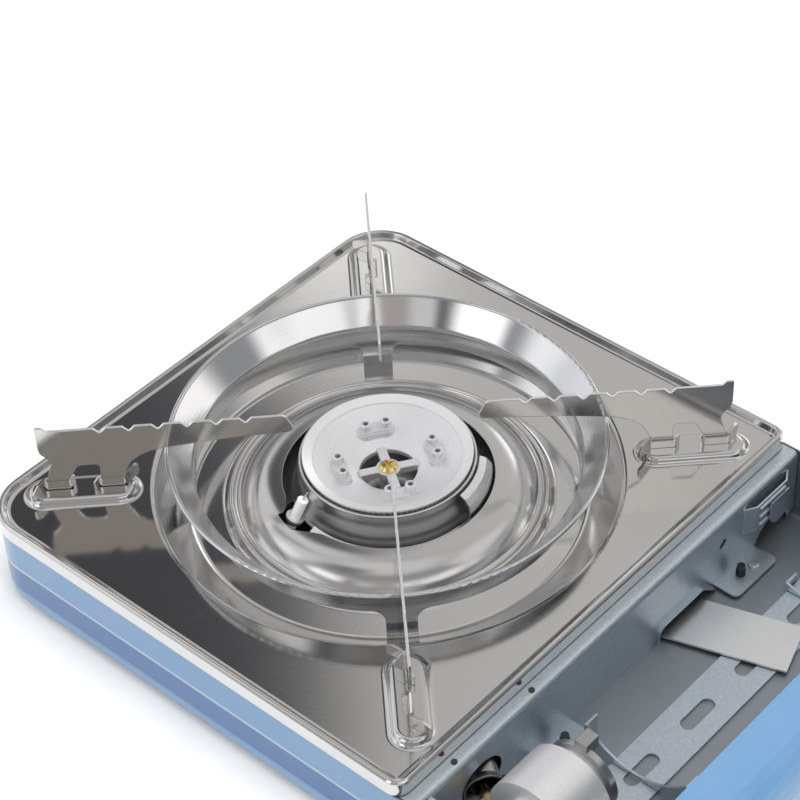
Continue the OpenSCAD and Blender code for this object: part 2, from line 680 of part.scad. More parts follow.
module regulator_body() color([0.62, 0.63, 0.65]) difference() {
    union() {
        facing_front(bay_x, seat_y - 9, cartridge_z) cylinder(r = 21, h = 26);
        facing_front(bay_x, seat_y - 3, cartridge_z) cylinder(r = 14, h = 7);
        facing_front(bay_x, seat_y - 34, cartridge_z) cylinder(r = 12, h = 4);
        translate([bay_x - 13, front_y + 8, 14]) cube([26, 30, 20]);
        for (s = [-1, 1]) translate([bay_x + s * 9 - 2, front_y + 14, floor_z]) cube([4, 18, 9]);
        translate([bay_x - 21, front_y + 9, floor_z]) cube([34, 28, 1.2]);
        along_tube() translate([0, 0, tube_end + 11]) cylinder(r = 6, h = 16);
    }
    facing_front(bay_x, front_y + 30, knob_z) cylinder(r = shaft_r + run_gap, h = 30);
    along_tube() translate([0, 0, tube_end + 8]) cylinder(r = 3.5 + run_gap, h = 12.1);
    for (y = regulator_screw_y) translate([bay_x - 17, front_y + y, 0])
        cylinder(r = screw_r + 0.1, h = 12);
}

module regulator_seat() color(steel) difference() {
    union() {
        facing_front(bay_x, seat_y, cartridge_z) cylinder(r = 17, h = 3);
        translate([bay_x - 3, seat_y - 3, cartridge_z + 14]) cube([6, 8, 7]);
    }
    facing_front(bay_x, seat_y + 1, cartridge_z) cylinder(r = 7 + run_gap, h = 5);
}

module valve_seal() color(black) facing_front(bay_x, seat_y, cartridge_z) tube(7, 3.2, 3);

module knob_shaft() color(steel) difference() {
    facing_front(bay_x, front_y + 29, knob_z) cylinder(r = shaft_r, h = 29 + 14);
    translate([bay_x - 5, front_y - 15, knob_z + shaft_r - 0.9]) cube([10, 13.1, 3]);
}

module knob() color(black) facing_front(bay_x, front_y - 2, knob_z) difference() {
    union() {
        rotate_extrude() polygon([[0, 0], [knob_r, 0], [knob_r, 2.4], [knob_r - 2, 4.6],
            [knob_r - 3, knob_depth * 0.55], [0, knob_depth * 0.55]]);
        intersection() {
            translate([-knob_r, -4.5, 0]) cube([2 * knob_r, 9, knob_depth]);
            rotate_extrude() polygon([[0, 0], [knob_r - 2, 0], [knob_r - 3, knob_depth - 1.5],
                [knob_r - 5, knob_depth], [0, knob_depth]]);
        }
        for (a = [0:20:340]) rotate([0, 0, a]) translate([knob_r - 2.6, 0, 0])
            cylinder(r = 1.4, h = knob_depth * 0.5, $fn = 16);
    }
    difference() {
        translate([0, 0, -1]) cylinder(r = shaft_r + 0.02, h = 13.1);
        translate([-5, shaft_r - 0.88, -2]) cube([10, 3, 16]);
    }
    translate([0, 0, -1]) tube(knob_r - 2.5, shaft_r + 3, 5);
}

module knob_plate() color([0.2, 0.2, 0.22]) translate([0, case_front, 0])
    rotate([90, 0, 0]) linear_extrude(0.8) difference() {
        round_rect(wall_x + 1.5, right_x - bay_corner_r + 2, foot_h + 8, bay_top - 1.2,
            [3, 3, 3, 3]);
        translate([bay_x, knob_z]) circle(r = shaft_r + 1.5);
        translate([lever_x - 2, lever_z - lever_travel - 4.5]) square([4, lever_travel + 9]);
    }

piezo_y = front_y + 5;

module piezo_igniter() color(black) translate([bay_x + 13, piezo_y, foot_h + 6]) {
    difference() {
        cube([12, 20, 20]);
        translate([10.5, 3, 3]) cube([3, 14, 14]);
    }
    translate([6, 20, 4]) rotate([-90, 0, 0]) cylinder(r = 2, h = 3);
}

spark_low = [spark_top[0], spark_top[1], deck_h + spark_top[2]] - spark_dir * (insulator_l + 3);

lead_route = [
    [bay_x + 19, piezo_y + 23, foot_h + 10], [bay_x + 19, front_y + 46, foot_h + 10],
    [bay_x + 8, front_y + 56, 12], [wall_x + 6, front_y + 56, 12],
    [wall_x - 14, front_y + 56, 12], [44, -84, 10], [-6, -78, 10],
    spark_low - spark_dir * 14, spark_low
];

module igniter_lead() color(black) wire(lead_route, lead_r, 5);

// ---- lock lever and carriage ----

module lever_guide() color(galvanised) difference() {
    translate([lever_x - 7, case_front + case_t, foot_h + 8]) cube([14, 9, 32]);
    translate([lever_x - 3 - slide_gap, case_front, foot_h + 6])
        cube([6 + 2 * slide_gap, 7, 40]);
}

module lock_lever() color(black) {
    translate([lever_x - 1.7, case_front - 4, lever_z - 4]) cube([3.4, 6.5, 8]);
    translate([lever_x - 3, case_front + 1.5, lever_z - 9]) cube([6, 4, 18]);
    translate([lever_x - 6, case_front - 14, lever_z - 4]) difference() {
        rotate([90, 0, 90]) linear_extrude(12) polygon(soft_loop([[0, 3.4], [0, 0.6],
            [11.8, 0], [11.8, 8], [9, 8]], 1, 3));
        for (i = [0:3]) translate([-1, 2 + 2 * i, 4.6 + i * 1.04]) cube([14, 0.8, 3]);
    }
}

module cartridge_carriage() color(galvanised) {
    low = floor_z + 0.1;
    difference() {
        union() {
            translate([bay_x - 12, carriage_front, low])
                cube([24, carriage_y - carriage_front, 1.2]);
            translate([0, carriage_y, 0]) rotate([90, 0, 0]) linear_extrude(1.2)
                polygon(soft_loop([[bay_x - 12, low], [bay_x + 12, low], [bay_x + 17, low + 8],
                    [bay_x + 17, low + 24], [bay_x + 9, low + 31], [bay_x - 9, low + 31],
                    [bay_x - 17, low + 24], [bay_x - 17, low + 8]], 3, 4));
        }
        translate([bay_x, carriage_y + 2, low + 18]) rotate([90, 0, 0])
            cylinder(r = 7, h = 6);
        for (y = [seat_y + 40:40:seat_y + 160]) translate([bay_x, y, low - 1])
            rotate([0, 0, 90]) bar(14, 3.5, 4);
    }
}

// ---- cartridge bay ----

tab_z = floor_z + 1.3;
tab_y = [69.3, 101.3];
tab_screw_in = 5.4;
screw_tab_y = [82.4];
wall_band = [[-0.5, 90], [0, 90.5], [3, 95.5], [3, 118], [0, 123], [-0.5, 123.5]];
panel_arch = soften([[panel_back - 17, floor_z], [panel_back - 17, floor_z + 9],
    [panel_back + 15, floor_z + 9], [panel_back + 25, floor_z + 1],
    [panel_back + 25, floor_z]], 4, 5);

// Divider between burner and bay: top flange, wall with its pressed band, and foot tabs
module bay_wall() color(galvanised) difference() {
    union() {
        translate([0, case_rear - 1.4, 0]) rotate([90, 0, 0])
            linear_extrude(plate_d - 2 * case_gap - 2.8)
                polygon(sheet(soften([[plate_x - 9, bay_top], [wall_x, bay_top],
                    [wall_x, floor_z]], 3, 5), -case_t));
        translate([wall_x - 0.1, tab_y[0], tab_z]) linear_extrude(1)
            round_rect(0, 13, 0, tab_y[1] - tab_y[0], [0.01, 3, 3, 0.01]);
        translate([wall_x + 7, tab_y[0] + 21.5, tab_z + 1]) bump(3.2, 1.1);
        translate([wall_x - 0.1, -60, floor_z]) cube([11, 26, 1]);
        translate([wall_x, 0, deck_h - 25.5]) linear_extrude(15.2)
            polygon(sheet(wall_band, -0.8));
        for (i = [0:2]) translate([wall_x + 3.8, 97, deck_h - 22.9 + 5 * i])
            rotate([-90, 0, 0]) cylinder(r = 0.9, h = 19.5, $fn = 24);
        translate([wall_x - 0.4, 0, 0]) rotate([90, 0, 90]) linear_extrude(2.4)
            polygon(sheet(panel_arch, 0.8));
    }
    along_tube() translate([0, 0, tube_end - 35]) cylinder(r = tube_r + 2.4, h = 45);
    translate([wall_x - 4, front_y + 56, 12]) rotate([0, 90, 0]) cylinder(r = 2.5, h = 8);
    translate([wall_x - 4, 0, 0]) rotate([90, 0, 90]) linear_extrude(8)
        polygon(concat([[panel_back - 17, floor_z - 2]], panel_arch,
            [[panel_back + 25, floor_z - 2]]));
    for (y = [case_front, case_rear - 5]) translate([wall_x - 4, y, floor_z - 1])
        cube([8, 5, 4.5]);
    translate([wall_x - 4, 74.4, deck_h - 19.7]) rotate([40, 0, 0]) rotate([0, 90, 0])
        rotate([0, 0, 90]) bar(2.2, 1.7, 8);
    translate([wall_x - 4, 91, deck_h - 27.2]) cube([8, 28, 1.6]);
    translate([wall_x - 4, 99, deck_h - 10.2]) cube([8, 20, 1.4]);
    translate([wall_x - 4, 114, 4]) rotate([0, 90, 0]) cylinder(r = 13.7, h = 8);
    translate([wall_x + tab_screw_in, 82.4, 0]) cylinder(r = screw_r + 0.1, h = 14);
    translate([wall_x + 6, -47, 0]) cylinder(r = screw_r + 0.1, h = 14);
}

module bump(r, h) rotate_extrude() polygon([[0, 0], [r, 0], [r * 0.8, h * 0.75],
    [r * 0.4, h], [0, h]]);

// Leaf spring on the ribs of the wall's pressed band; it steadies the cartridge
module bay_clip() color(galvanised) translate([wall_x + 4.75, 0, deck_h - 29])
    rotate([90, 0, 90]) linear_extrude(0.6) union() {
        translate([104, 7]) square([14, 8]);
        translate([111, 7]) circle(r = 7);
    }

// Two saddles that the cartridge lies on; the carriage slides through their feet
module saddle(y, half, h) translate([0, y, 0]) difference() {
    translate([bay_x - half, 0, floor_z]) cube([2 * half, 8, h]);
    translate([bay_x, -1, cartridge_z]) rotate([-90, 0, 0])
        cylinder(r = cartridge_r + 0.3, h = 10);
    translate([bay_x - half + 1, 1.2, floor_z - 1]) cube([2 * half - 2, 8, 20]);
    translate([bay_x - 12 - slide_gap, -1, floor_z - 1])
        cube([24 + 2 * slide_gap, 12, 1.4 + 1 + slide_gap]);
}

module cartridge_saddle() color(galvanised) {
    saddle(-42, 27, 15);
    saddle(88, 13.6, 7);
}

// ---- lid ----

lid_mid = (lid_left + lid_right) / 2;
lid_half = (lid_right - lid_left) / 2;
lid_wall = 9;
function dome(a) = [lid_mid - lid_half * sign(cos(a)) * pow(abs(cos(a)), 0.62),
    lid_low + lid_wall + (lid_top - lid_low - lid_wall) * pow(sin(a), 0.8)];
lid_path = concat([[lid_left, lid_low]], [for (a = [0:9:180]) dome(a)], [[lid_right, lid_low]]);

module lid_shape() {
    y0 = front_y + 0.8;
    y1 = rear_y - 0.8;
    translate([0, y1, 0]) rotate([90, 0, 0]) linear_extrude(y1 - y0)
        polygon(sheet(lid_path, -case_t));
    for (y = [y0 + case_t, y1]) translate([0, y, 0]) rotate([90, 0, 0])
        linear_extrude(case_t) polygon(lid_path);
    for (y = hinge_at) translate([0, y + 0.9, 0]) rotate([90, 0, 0]) linear_extrude(1.8)
        difference() {
            union() {
                translate([hinge_x, hinge_z]) circle(r = 3.2);
                translate([lid_right - 0.4, lid_low]) square([hinge_x - lid_right + 0.4,
                    hinge_z - lid_low + 3.2]);
            }
            translate([hinge_x, hinge_z]) circle(r = pin_r + run_gap);
        }
    translate([lid_left - 5, (y0 + y1) / 2 - 16, deck_h + rim_h + 2]) cube([5.4, 32, 1]);
}

module lid() color(paint) translate([hinge_x, 0, hinge_z]) rotate([0, lid_open, 0])
    translate([-hinge_x, 0, -hinge_z]) lid_shape();

module hinge_brackets() color(steel) for (y = hinge_at) difference() {
    union() {
        translate([right_x, y - 11, bay_top - 12]) cube([1.2, 22, 11.4]);
        for (s = [-1, 1]) translate([0, y + s * 2.1 + 0.9, 0]) rotate([90, 0, 0])
            linear_extrude(1.8) union() {
                translate([hinge_x, hinge_z]) circle(r = 3.2);
                polygon([[right_x + 1, bay_top - 8], [right_x + 1, bay_top - 0.6],
                    [hinge_x - 3.1, hinge_z - 0.6], [hinge_x + 2.8, hinge_z - 1.6],
                    [right_x + 3, bay_top - 8]]);
            }
    }
    translate([hinge_x, y + 8, hinge_z]) rotate([90, 0, 0]) cylinder(r = pin_r + run_gap, h = 16);
    for (s = [-1, 1]) translate([right_x - 1, y + s * 7.5, bay_top - 7]) rotate([0, 90, 0])
        cylinder(r = rivet_r + run_gap, h = 4);
}

module hinge_pins() color(steel) for (y = hinge_at) translate([hinge_x, y, hinge_z])
    rotate([90, 0, 0]) {
        translate([0, 0, -4]) cylinder(r = pin_r, h = 8);
        for (z = [-4.2, 3.2]) translate([0, 0, z]) cylinder(r = 2.4, h = 1);
    }

module hinge_rivets() color(steel) for (y = hinge_at, s = [-1, 1])
    translate([right_x - case_t, y + s * 7.5, bay_top - 7]) rotate([0, 90, 0]) {
        cylinder(r = rivet_r, h = case_t + 1.2);
        translate([0, 0, case_t + 1.2]) bump(2.8, 1);
        translate([0, 0, -0.8]) cylinder(r = 2.6, h = 0.8);
    }

module lid_buffers() color(black) for (y = [front_y + 30, front_y + 80])
    translate([lid_left + 1.6, y, bay_top]) cylinder(r = 1.4, h = 0.5, $fn = 24);

// ---- fasteners ----

bracket_arm = turn([28, 0], tube_turn + 90);
case_screw_at = [bracket_arm, -bracket_arm, [bay_x - 17, front_y + regulator_screw_y[0]],
    [bay_x - 17, front_y + regulator_screw_y[1]], [wall_x + tab_screw_in, 82.4],
    [wall_x + 6, -47]];

module case_screws() color(steel) {
    for (i = [0:3]) translate([case_screw_at[i][0], case_screw_at[i][1], floor_z + 1.2])
        rotate([0, 0, 30 * i]) screw(3.4, 1.8, screw_r, floor_z + 1.2 - foot_h + 1.5);
    for (i = [4, 5]) translate([case_screw_at[i][0], case_screw_at[i][1], foot_h])
        rotate([180, 0, 30 * i]) screw(3.4, 1.8, screw_r, 8.8);
}

// ---- placing ----

function opened(p) = let (v = p - [hinge_x, hinge_z])
    [hinge_x + v[0] * cos(lid_open) + v[1] * sin(lid_open),
     hinge_z - v[0] * sin(lid_open) + v[1] * cos(lid_open)];
open_x = max([for (p = lid_path) opened(p)[0]]);
knob_front = front_y - 2 - knob_depth;
middle = [-(left_x + open_x) / 2, -(knob_front + rear_y) / 2, 0];

translate(middle) body_pan();
translate(middle) bay_wall();
translate(middle) bay_clip();
translate(middle) cartridge_saddle();
translate(middle) top_plate();
translate(middle) wind_guard();
translate(middle) pan_support_rear_right();
translate(middle) pan_support_rear_left();
translate(middle) pan_support_front_left();
translate(middle) pan_support_front_right();
translate(middle) burner_head();
translate(middle) burner_screw();
translate(middle) burner_cup();
translate(middle) burner_base();
translate(middle) burner_bracket();
translate(middle) mixing_tube();
translate(middle) gas_jet();
translate(middle) heat_panel();
translate(middle) electrode_insulator();
translate(middle) electrode_wire();
translate(middle) electrode_clip();
translate(middle) igniter_lead();
translate(middle) piezo_igniter();
translate(middle) regulator_body();
translate(middle) regulator_seat();
translate(middle) valve_seal();
translate(middle) knob_shaft();
translate(middle) knob();
translate(middle) knob_plate();
translate(middle) lever_guide();
translate(middle) lock_lever();
translate(middle) cartridge_carriage();
translate(middle) lid();
translate(middle) hinge_brackets();
translate(middle) hinge_pins();
translate(middle) hinge_rivets();
translate(middle) rubber_feet();
translate(middle) plate_screws();
translate(middle) case_screws();
translate(middle) lid_buffers();
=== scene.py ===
import math
import bmesh
import bpy
from mathutils import Matrix, Vector


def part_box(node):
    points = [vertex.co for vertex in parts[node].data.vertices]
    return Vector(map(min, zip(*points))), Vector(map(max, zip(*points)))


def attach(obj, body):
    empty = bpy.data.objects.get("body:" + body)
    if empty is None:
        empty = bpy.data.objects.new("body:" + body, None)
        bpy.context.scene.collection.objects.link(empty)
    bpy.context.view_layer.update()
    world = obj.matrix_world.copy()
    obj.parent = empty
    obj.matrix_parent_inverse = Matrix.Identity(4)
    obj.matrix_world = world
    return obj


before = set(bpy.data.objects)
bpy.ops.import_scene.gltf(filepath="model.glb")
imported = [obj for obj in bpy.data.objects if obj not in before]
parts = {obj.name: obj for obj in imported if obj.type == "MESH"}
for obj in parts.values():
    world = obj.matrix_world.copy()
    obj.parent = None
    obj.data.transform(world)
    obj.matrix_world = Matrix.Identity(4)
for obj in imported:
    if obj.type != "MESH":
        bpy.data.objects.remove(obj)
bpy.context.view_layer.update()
scene = bpy.context.scene
scene.view_settings.view_transform = "Standard"
cupLow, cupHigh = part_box("burner_cup")
burnerX = (cupLow.x + cupHigh.x) / 2  # the burner axis: camera, round effects and skirt are placed from it
burnerY = (cupLow.y + cupHigh.y) / 2
deckZ = 0.050  # height of the top plate
fieldRadius = 0.0725  # the satin field round the burner ends at the bead
print("stove loaded:", len(parts), "parts")


# camera, floor and light

cameraSet = {
    "lens": 112.5, "sensor": 36, "clip": (0.05, 20),
    "place": (0.56660, -0.59913, 0.78476),  # from the burner axis at plate height
    "right": (0.75185, 0.65848, -0.03350),
    "up": (-0.42217, 0.51982, 0.74267),
    "back": (0.50645, -0.54424, 0.66881),
}
cameraData = bpy.data.cameras.new("stoveCamera")
cameraData.lens = cameraSet["lens"]
cameraData.sensor_width = cameraSet["sensor"]
cameraData.clip_start, cameraData.clip_end = cameraSet["clip"]
camera = bpy.data.objects.new("stoveCamera", cameraData)
scene.collection.objects.link(camera)
place = Vector(cameraSet["place"]) + Vector((burnerX, burnerY, deckZ))
turn = Matrix((cameraSet["right"], cameraSet["up"], cameraSet["back"])).transposed()
camera.matrix_world = Matrix.Translation(place) @ turn.to_4x4()
scene.camera = camera


def newMaterial(name):
    material = bpy.data.materials.new(name)
    material.use_nodes = True
    tree = material.node_tree
    return material, tree, tree.nodes["Principled BSDF"]


def addNode(tree, kind, **values):
    node = tree.nodes.new(kind)
    for key, value in values.items():
        if hasattr(node, key):
            setattr(node, key, value)
        else:
            node.inputs[key.replace("_", " ")].default_value = value
    return node


def ramp(tree, source, stops):
    node = tree.nodes.new("ShaderNodeValToRGB")
    node.color_ramp.interpolation = "EASE"
    while len(node.color_ramp.elements) < len(stops):
        node.color_ramp.elements.new(0.5)
    for element, (place, tone) in zip(node.color_ramp.elements, stops):
        element.position = place
        element.color = (*tone, 1) if hasattr(tone, "__len__") else (tone, tone, tone, 1)
    tree.links.new(source, node.inputs["Fac"])
    return node.outputs["Color"]


def mathNode(tree, operation, first, second=None, third=None, clamp=False):
    node = tree.nodes.new("ShaderNodeMath")
    node.operation = operation
    node.use_clamp = clamp
    for slot, value in enumerate((first, second, third)):
        if value is None:
            continue
        if isinstance(value, (int, float)):
            node.inputs[slot].default_value = value
        else:
            tree.links.new(value, node.inputs[slot])
    return node.outputs[0]


def mixColour(tree, amount, first, second):
    node = tree.nodes.new("ShaderNodeMix")
    node.data_type = "RGBA"
    for name, value in (("Factor_Float", amount), ("A_Color", first), ("B_Color", second)):
        socket = next(s for s in node.inputs if s.identifier == name)
        if hasattr(value, "is_linked"):
            tree.links.new(value, socket)
        elif name == "Factor_Float":
            socket.default_value = value
        else:
            socket.default_value = (*value, 1)
    return next(s for s in node.outputs if s.identifier == "Result_Color")


floorSet = {
    "size": 6.0, "tone": (0.86, 0.86, 0.855), "rough": 0.62, "specular": 0.2,
    "speck": 260.0, "speckShade": 0.985, "speckStops": (0.3, 0.7),
}


def makeFloor():
    mesh = bpy.data.meshes.new("floor")
    half = floorSet["size"] / 2
    corners = [(-half, -half, 0), (half, -half, 0), (half, half, 0), (-half, half, 0)]
    mesh.from_pydata(corners, [], [(0, 1, 2, 3)])
    floor = bpy.data.objects.new("floor", mesh)
    scene.collection.objects.link(floor)
    material, tree, shader = newMaterial("paleFloor")
    noise = addNode(tree, "ShaderNodeTexNoise", Scale=floorSet["speck"], Detail=3.0)
    base, (low, high) = floorSet["tone"], floorSet["speckStops"]
    shade = tuple(floorSet["speckShade"] * value for value in base)
    tone = ramp(tree, noise.outputs["Fac"], [(low, shade), (high, base)])
    tree.links.new(tone, shader.inputs["Base Color"])
    shader.inputs["Roughness"].default_value = floorSet["rough"]
    shader.inputs["Specular IOR Level"].default_value = floorSet["specular"]
    mesh.materials.append(material)


worldSet = {
    "plain": (0.93, 0.93, 0.93),  # what the camera sees past the floor
    "base": (0.36, 0.365, 0.375),
    "strength": 1.0,
}
boardSets = {  # light and dark boards round the stove: direction, half widths and softness in degrees
    "rearWall": {"azimuth": 98, "elevation": 31, "wide": 40, "high": 37,
        "soft": (8, 8), "tone": (0.66, 0.655, 0.64)},
    "leftWall": {"azimuth": -171, "elevation": 42, "wide": 44, "high": 27,
        "soft": (6, 8), "tone": (0.84, 0.84, 0.85)},
    "leftBar": {"azimuth": -169, "elevation": 52, "wide": 6, "high": 12,
        "soft": (3, 4), "tone": (0.42, 0.42, 0.43)},
    "ceiling": {"azimuth": 0, "elevation": 90, "wide": 180, "high": 19,
        "soft": (1, 9), "tone": (0.80, 0.80, 0.80)},
    "ceilingGap": {"azimuth": -112, "elevation": 70, "wide": 22, "high": 9,
        "soft": (8, 6), "tone": (0.22, 0.22, 0.23)},
    "highRight": {"azimuth": 42, "elevation": 54, "wide": 27, "high": 13,
        "soft": (6, 6), "tone": (0.86, 0.855, 0.84)},
    "frontBox": {"azimuth": -22, "elevation": 43, "wide": 32, "high": 6.5,
        "soft": (9, 5), "tone": (1.38, 1.37, 1.35)},
    "frontDim": {"azimuth": -79, "elevation": 44, "wide": 20, "high": 6.5,
        "soft": (5, 5), "tone": (0.78, 0.77, 0.76)},
    "frontLeft": {"azimuth": -104, "elevation": 36, "wide": 13, "high": 13,
        "soft": (4, 5), "tone": (1.75, 1.75, 1.75)},
    "leftPanel": {"azimuth": -142, "elevation": 35, "wide": 10, "high": 13,
        "soft": (5, 5), "tone": (1.25, 1.25, 1.26)},
    "frontRight": {"azimuth": 11, "elevation": 35, "wide": 14, "high": 6,
        "soft": (5, 4), "tone": (1.35, 1.34, 1.32)},
    "frontGap": {"azimuth": -54, "elevation": 43, "wide": 9.5, "high": 12,
        "soft": (4, 4), "tone": (0.50, 0.46, 0.43)},
    "frontSpot": {"azimuth": -83, "elevation": 42, "wide": 4, "high": 7,
        "soft": (3, 3), "tone": (0.16, 0.16, 0.17)},
    "frontDip": {"azimuth": -29, "elevation": 45, "wide": 3.5, "high": 7,
        "soft": (3, 3), "tone": (0.85, 0.85, 0.85)},
    "leftLow": {"azimuth": -147, "elevation": 12, "wide": 42, "high": 8,
        "soft": (8, 6), "tone": (1.05, 1.06, 1.10)},
    "rightLow": {"azimuth": 68, "elevation": 14, "wide": 16, "high": 12,
        "soft": (8, 7), "tone": (1.40, 1.38, 1.35)},
    "rearWindow": {"azimuth": 109, "elevation": 24, "wide": 8, "high": 7,
        "soft": (3, 3), "tone": (2.20, 2.20, 2.22)},
    "rearStrip": {"azimuth": 134.6, "elevation": 37, "wide": 2.8, "high": 3.2,
        "soft": (1, 1), "tone": (1.25, 1.24, 1.21)},
    "darkCard": {"azimuth": 148, "elevation": 38, "wide": 9.5, "high": 5,
        "soft": (2.5, 2), "tone": (0.078, 0.08, 0.087)},
    "darkCardTop": {"azimuth": 147, "elevation": 49, "wide": 11.2, "high": 8,
        "soft": (2, 2), "tone": (0.07, 0.072, 0.08)},
}


def fade(tree, offset, half, soft):  # 1 inside the half width, easing to 0 over the softness
    node = addNode(tree, "ShaderNodeMapRange", interpolation_type="SMOOTHSTEP")
    tree.links.new(mathNode(tree, "ABSOLUTE", offset), node.inputs["Value"])
    limits = {"From Min": half - soft, "From Max": half + soft, "To Min": 1.0, "To Max": 0.0}
    for label, value in limits.items():
        node.inputs[label].default_value = value
    return node.outputs["Result"]


def makeWorld():
    world = bpy.data.worlds.new("studio")
    world.use_nodes = True
    scene.world = world
    tree = world.node_tree
    background = tree.nodes["Background"]
    coords = tree.nodes.new("ShaderNodeTexCoord")
    split = tree.nodes.new("ShaderNodeSeparateXYZ")
    tree.links.new(coords.outputs["Generated"], split.inputs[0])
    bearing = mathNode(tree, "ARCTAN2", split.outputs["Y"], split.outputs["X"])
    azimuth = mathNode(tree, "DEGREES", bearing)
    elevation = mathNode(tree, "DEGREES", mathNode(tree, "ARCSINE", split.outputs["Z"]))
    tone = worldSet["base"]
    for values in boardSets.values():
        aside = mathNode(tree, "SUBTRACT", azimuth, values["azimuth"])
        across = mathNode(tree, "WRAP", aside, 180.0, -180.0)
        up = mathNode(tree, "SUBTRACT", elevation, values["elevation"])
        mask = mathNode(tree, "MULTIPLY", fade(tree, across, values["wide"], values["soft"][0]),
                        fade(tree, up, values["high"], values["soft"][1]))
        tone = mixColour(tree, mask, tone, values["tone"])
    seen = tree.nodes.new("ShaderNodeLightPath").outputs["Is Camera Ray"]
    tone = mixColour(tree, seen, tone, worldSet["plain"])
    tree.links.new(tone, background.inputs["Color"])
    background.inputs["Strength"].default_value = worldSet["strength"]


lightSets = {  # these only brighten: the boards above are what shows in the metal
    "topFill": {"place": (0.25, 0.1, 1.6), "size": (1.2, 1.0), "power": 17, "tone": (1, 0.99, 0.98)},
    "rightFill": {"place": (1.3, -0.7, 1.2), "size": (0.8, 0.8), "power": 13, "tone": (1, 0.98, 0.95)},
    "leftFill": {"place": (-1.3, -0.8, 1.1), "size": (0.8, 0.8), "power": 9, "tone": (0.95, 0.98, 1)},
}


def makeLights():
    for name, values in lightSets.items():
        data = bpy.data.lights.new(name, "AREA")
        data.shape = "RECTANGLE"
        data.size, data.size_y = values["size"]
        data.energy = values["power"]
        data.color = values["tone"]
        lamp = bpy.data.objects.new(name, data)
        scene.collection.objects.link(lamp)
        lamp.location = values["place"]
        lamp.visible_glossy = False
        lamp.rotation_euler = Vector(values["place"]).to_track_quat("Z", "Y").to_euler()


makeFloor()
makeWorld()
makeLights()
print("camera, floor and light ready")


# shared surface effects

def newGroup(name, inputs, outputs):
    group = bpy.data.node_groups.new(name, "ShaderNodeTree")
    for label, value in inputs.items():
        socket = group.interface.new_socket(label, in_out="INPUT", socket_type="NodeSocketFloat")
        socket.default_value = value
    for label, kind in outputs.items():
        group.interface.new_socket(label, in_out="OUTPUT", socket_type=kind)
    return group, group.nodes.new("NodeGroupInput"), group.nodes.new("NodeGroupOutput")


def useGroup(tree, group, **values):
    node = tree.nodes.new("ShaderNodeGroup")
    node.node_tree = group
    for label, value in values.items():
        node.inputs[label.replace("_", " ")].default_value = value
    return node


def axisDistance(group, coords, start):  # distance and offsets from the upright axis, and the height
    split = group.nodes.new("ShaderNodeSeparateXYZ")
    group.links.new(coords, split.inputs[0])
    sideX = mathNode(group, "SUBTRACT", split.outputs["X"], start.outputs["Centre X"])
    sideY = mathNode(group, "SUBTRACT", split.outputs["Y"], start.outputs["Centre Y"])
    squares = mathNode(group, "MULTIPLY_ADD", sideX, sideX, mathNode(group, "MULTIPLY", sideY, sideY))
    return mathNode(group, "SQRT", squares), sideX, sideY, split.outputs["Z"]


def roundFieldGroup():  # 1 inside a radius round the upright axis
    inputs = {"Centre X": 0.0, "Centre Y": 0.0, "Radius": 0.1, "Soft": 0.001}
    group, start, end = newGroup("roundField", inputs, {"Field": "NodeSocketFloat"})
    coords = group.nodes.new("ShaderNodeTexCoord").outputs["Object"]
    radius = axisDistance(group, coords, start)[0]
    inward = mathNode(group, "SUBTRACT", start.outputs["Radius"], radius)
    field = mathNode(group, "DIVIDE", inward, start.outputs["Soft"], clamp=True)
    group.links.new(field, end.inputs["Field"])
    return group


domeSet = {"flat": 0.05, "steep": 1.25, "edge": 0.0012, "facingUp": 0.5}


# between two radii the sheet falls away in one even curve
def domeNormal(group, start, plain, radius, sideX, sideY):
    across = mathNode(group, "SUBTRACT", radius, start.outputs["Dome Inner"])
    width = mathNode(group, "SUBTRACT", start.outputs["Dome Outer"], start.outputs["Dome Inner"])
    part = mathNode(group, "DIVIDE", across, width, clamp=True)
    squared = mathNode(group, "MULTIPLY", part, part)
    slope = mathNode(group, "MULTIPLY_ADD", squared, domeSet["steep"], domeSet["flat"])
    share = mathNode(group, "DIVIDE", slope, radius)
    join = group.nodes.new("ShaderNodeCombineXYZ")
    group.links.new(mathNode(group, "MULTIPLY", sideX, share), join.inputs[0])
    group.links.new(mathNode(group, "MULTIPLY", sideY, share), join.inputs[1])
    join.inputs[2].default_value = 1.0
    facing = group.nodes.new("ShaderNodeSeparateXYZ")
    group.links.new(plain, facing.inputs[0])
    upward = mathNode(group, "GREATER_THAN", facing.outputs["Z"], domeSet["facingUp"])
    mask = mathNode(group, "MULTIPLY", upward, start.outputs["Dome"])
    for reach in (across, mathNode(group, "SUBTRACT", start.outputs["Dome Outer"], radius)):
        inside = mathNode(group, "DIVIDE", reach, domeSet["edge"], clamp=True)
        mask = mathNode(group, "MULTIPLY", mask, inside)
    mixed = addNode(group, "ShaderNodeMix", data_type="VECTOR")
    even = addNode(group, "ShaderNodeVectorMath", operation="NORMALIZE")
    group.links.new(join.outputs[0], even.inputs[0])
    sockets = {socket.identifier: socket for socket in mixed.inputs}
    group.links.new(mask, sockets["Factor_Float"])
    group.links.new(plain, sockets["A_Vector"])
    group.links.new(even.outputs[0], sockets["B_Vector"])
    result = next(socket for socket in mixed.outputs if socket.identifier == "Result_Vector")
    smooth = addNode(group, "ShaderNodeVectorMath", operation="NORMALIZE")
    group.links.new(result, smooth.inputs[0])
    return smooth.outputs[0]


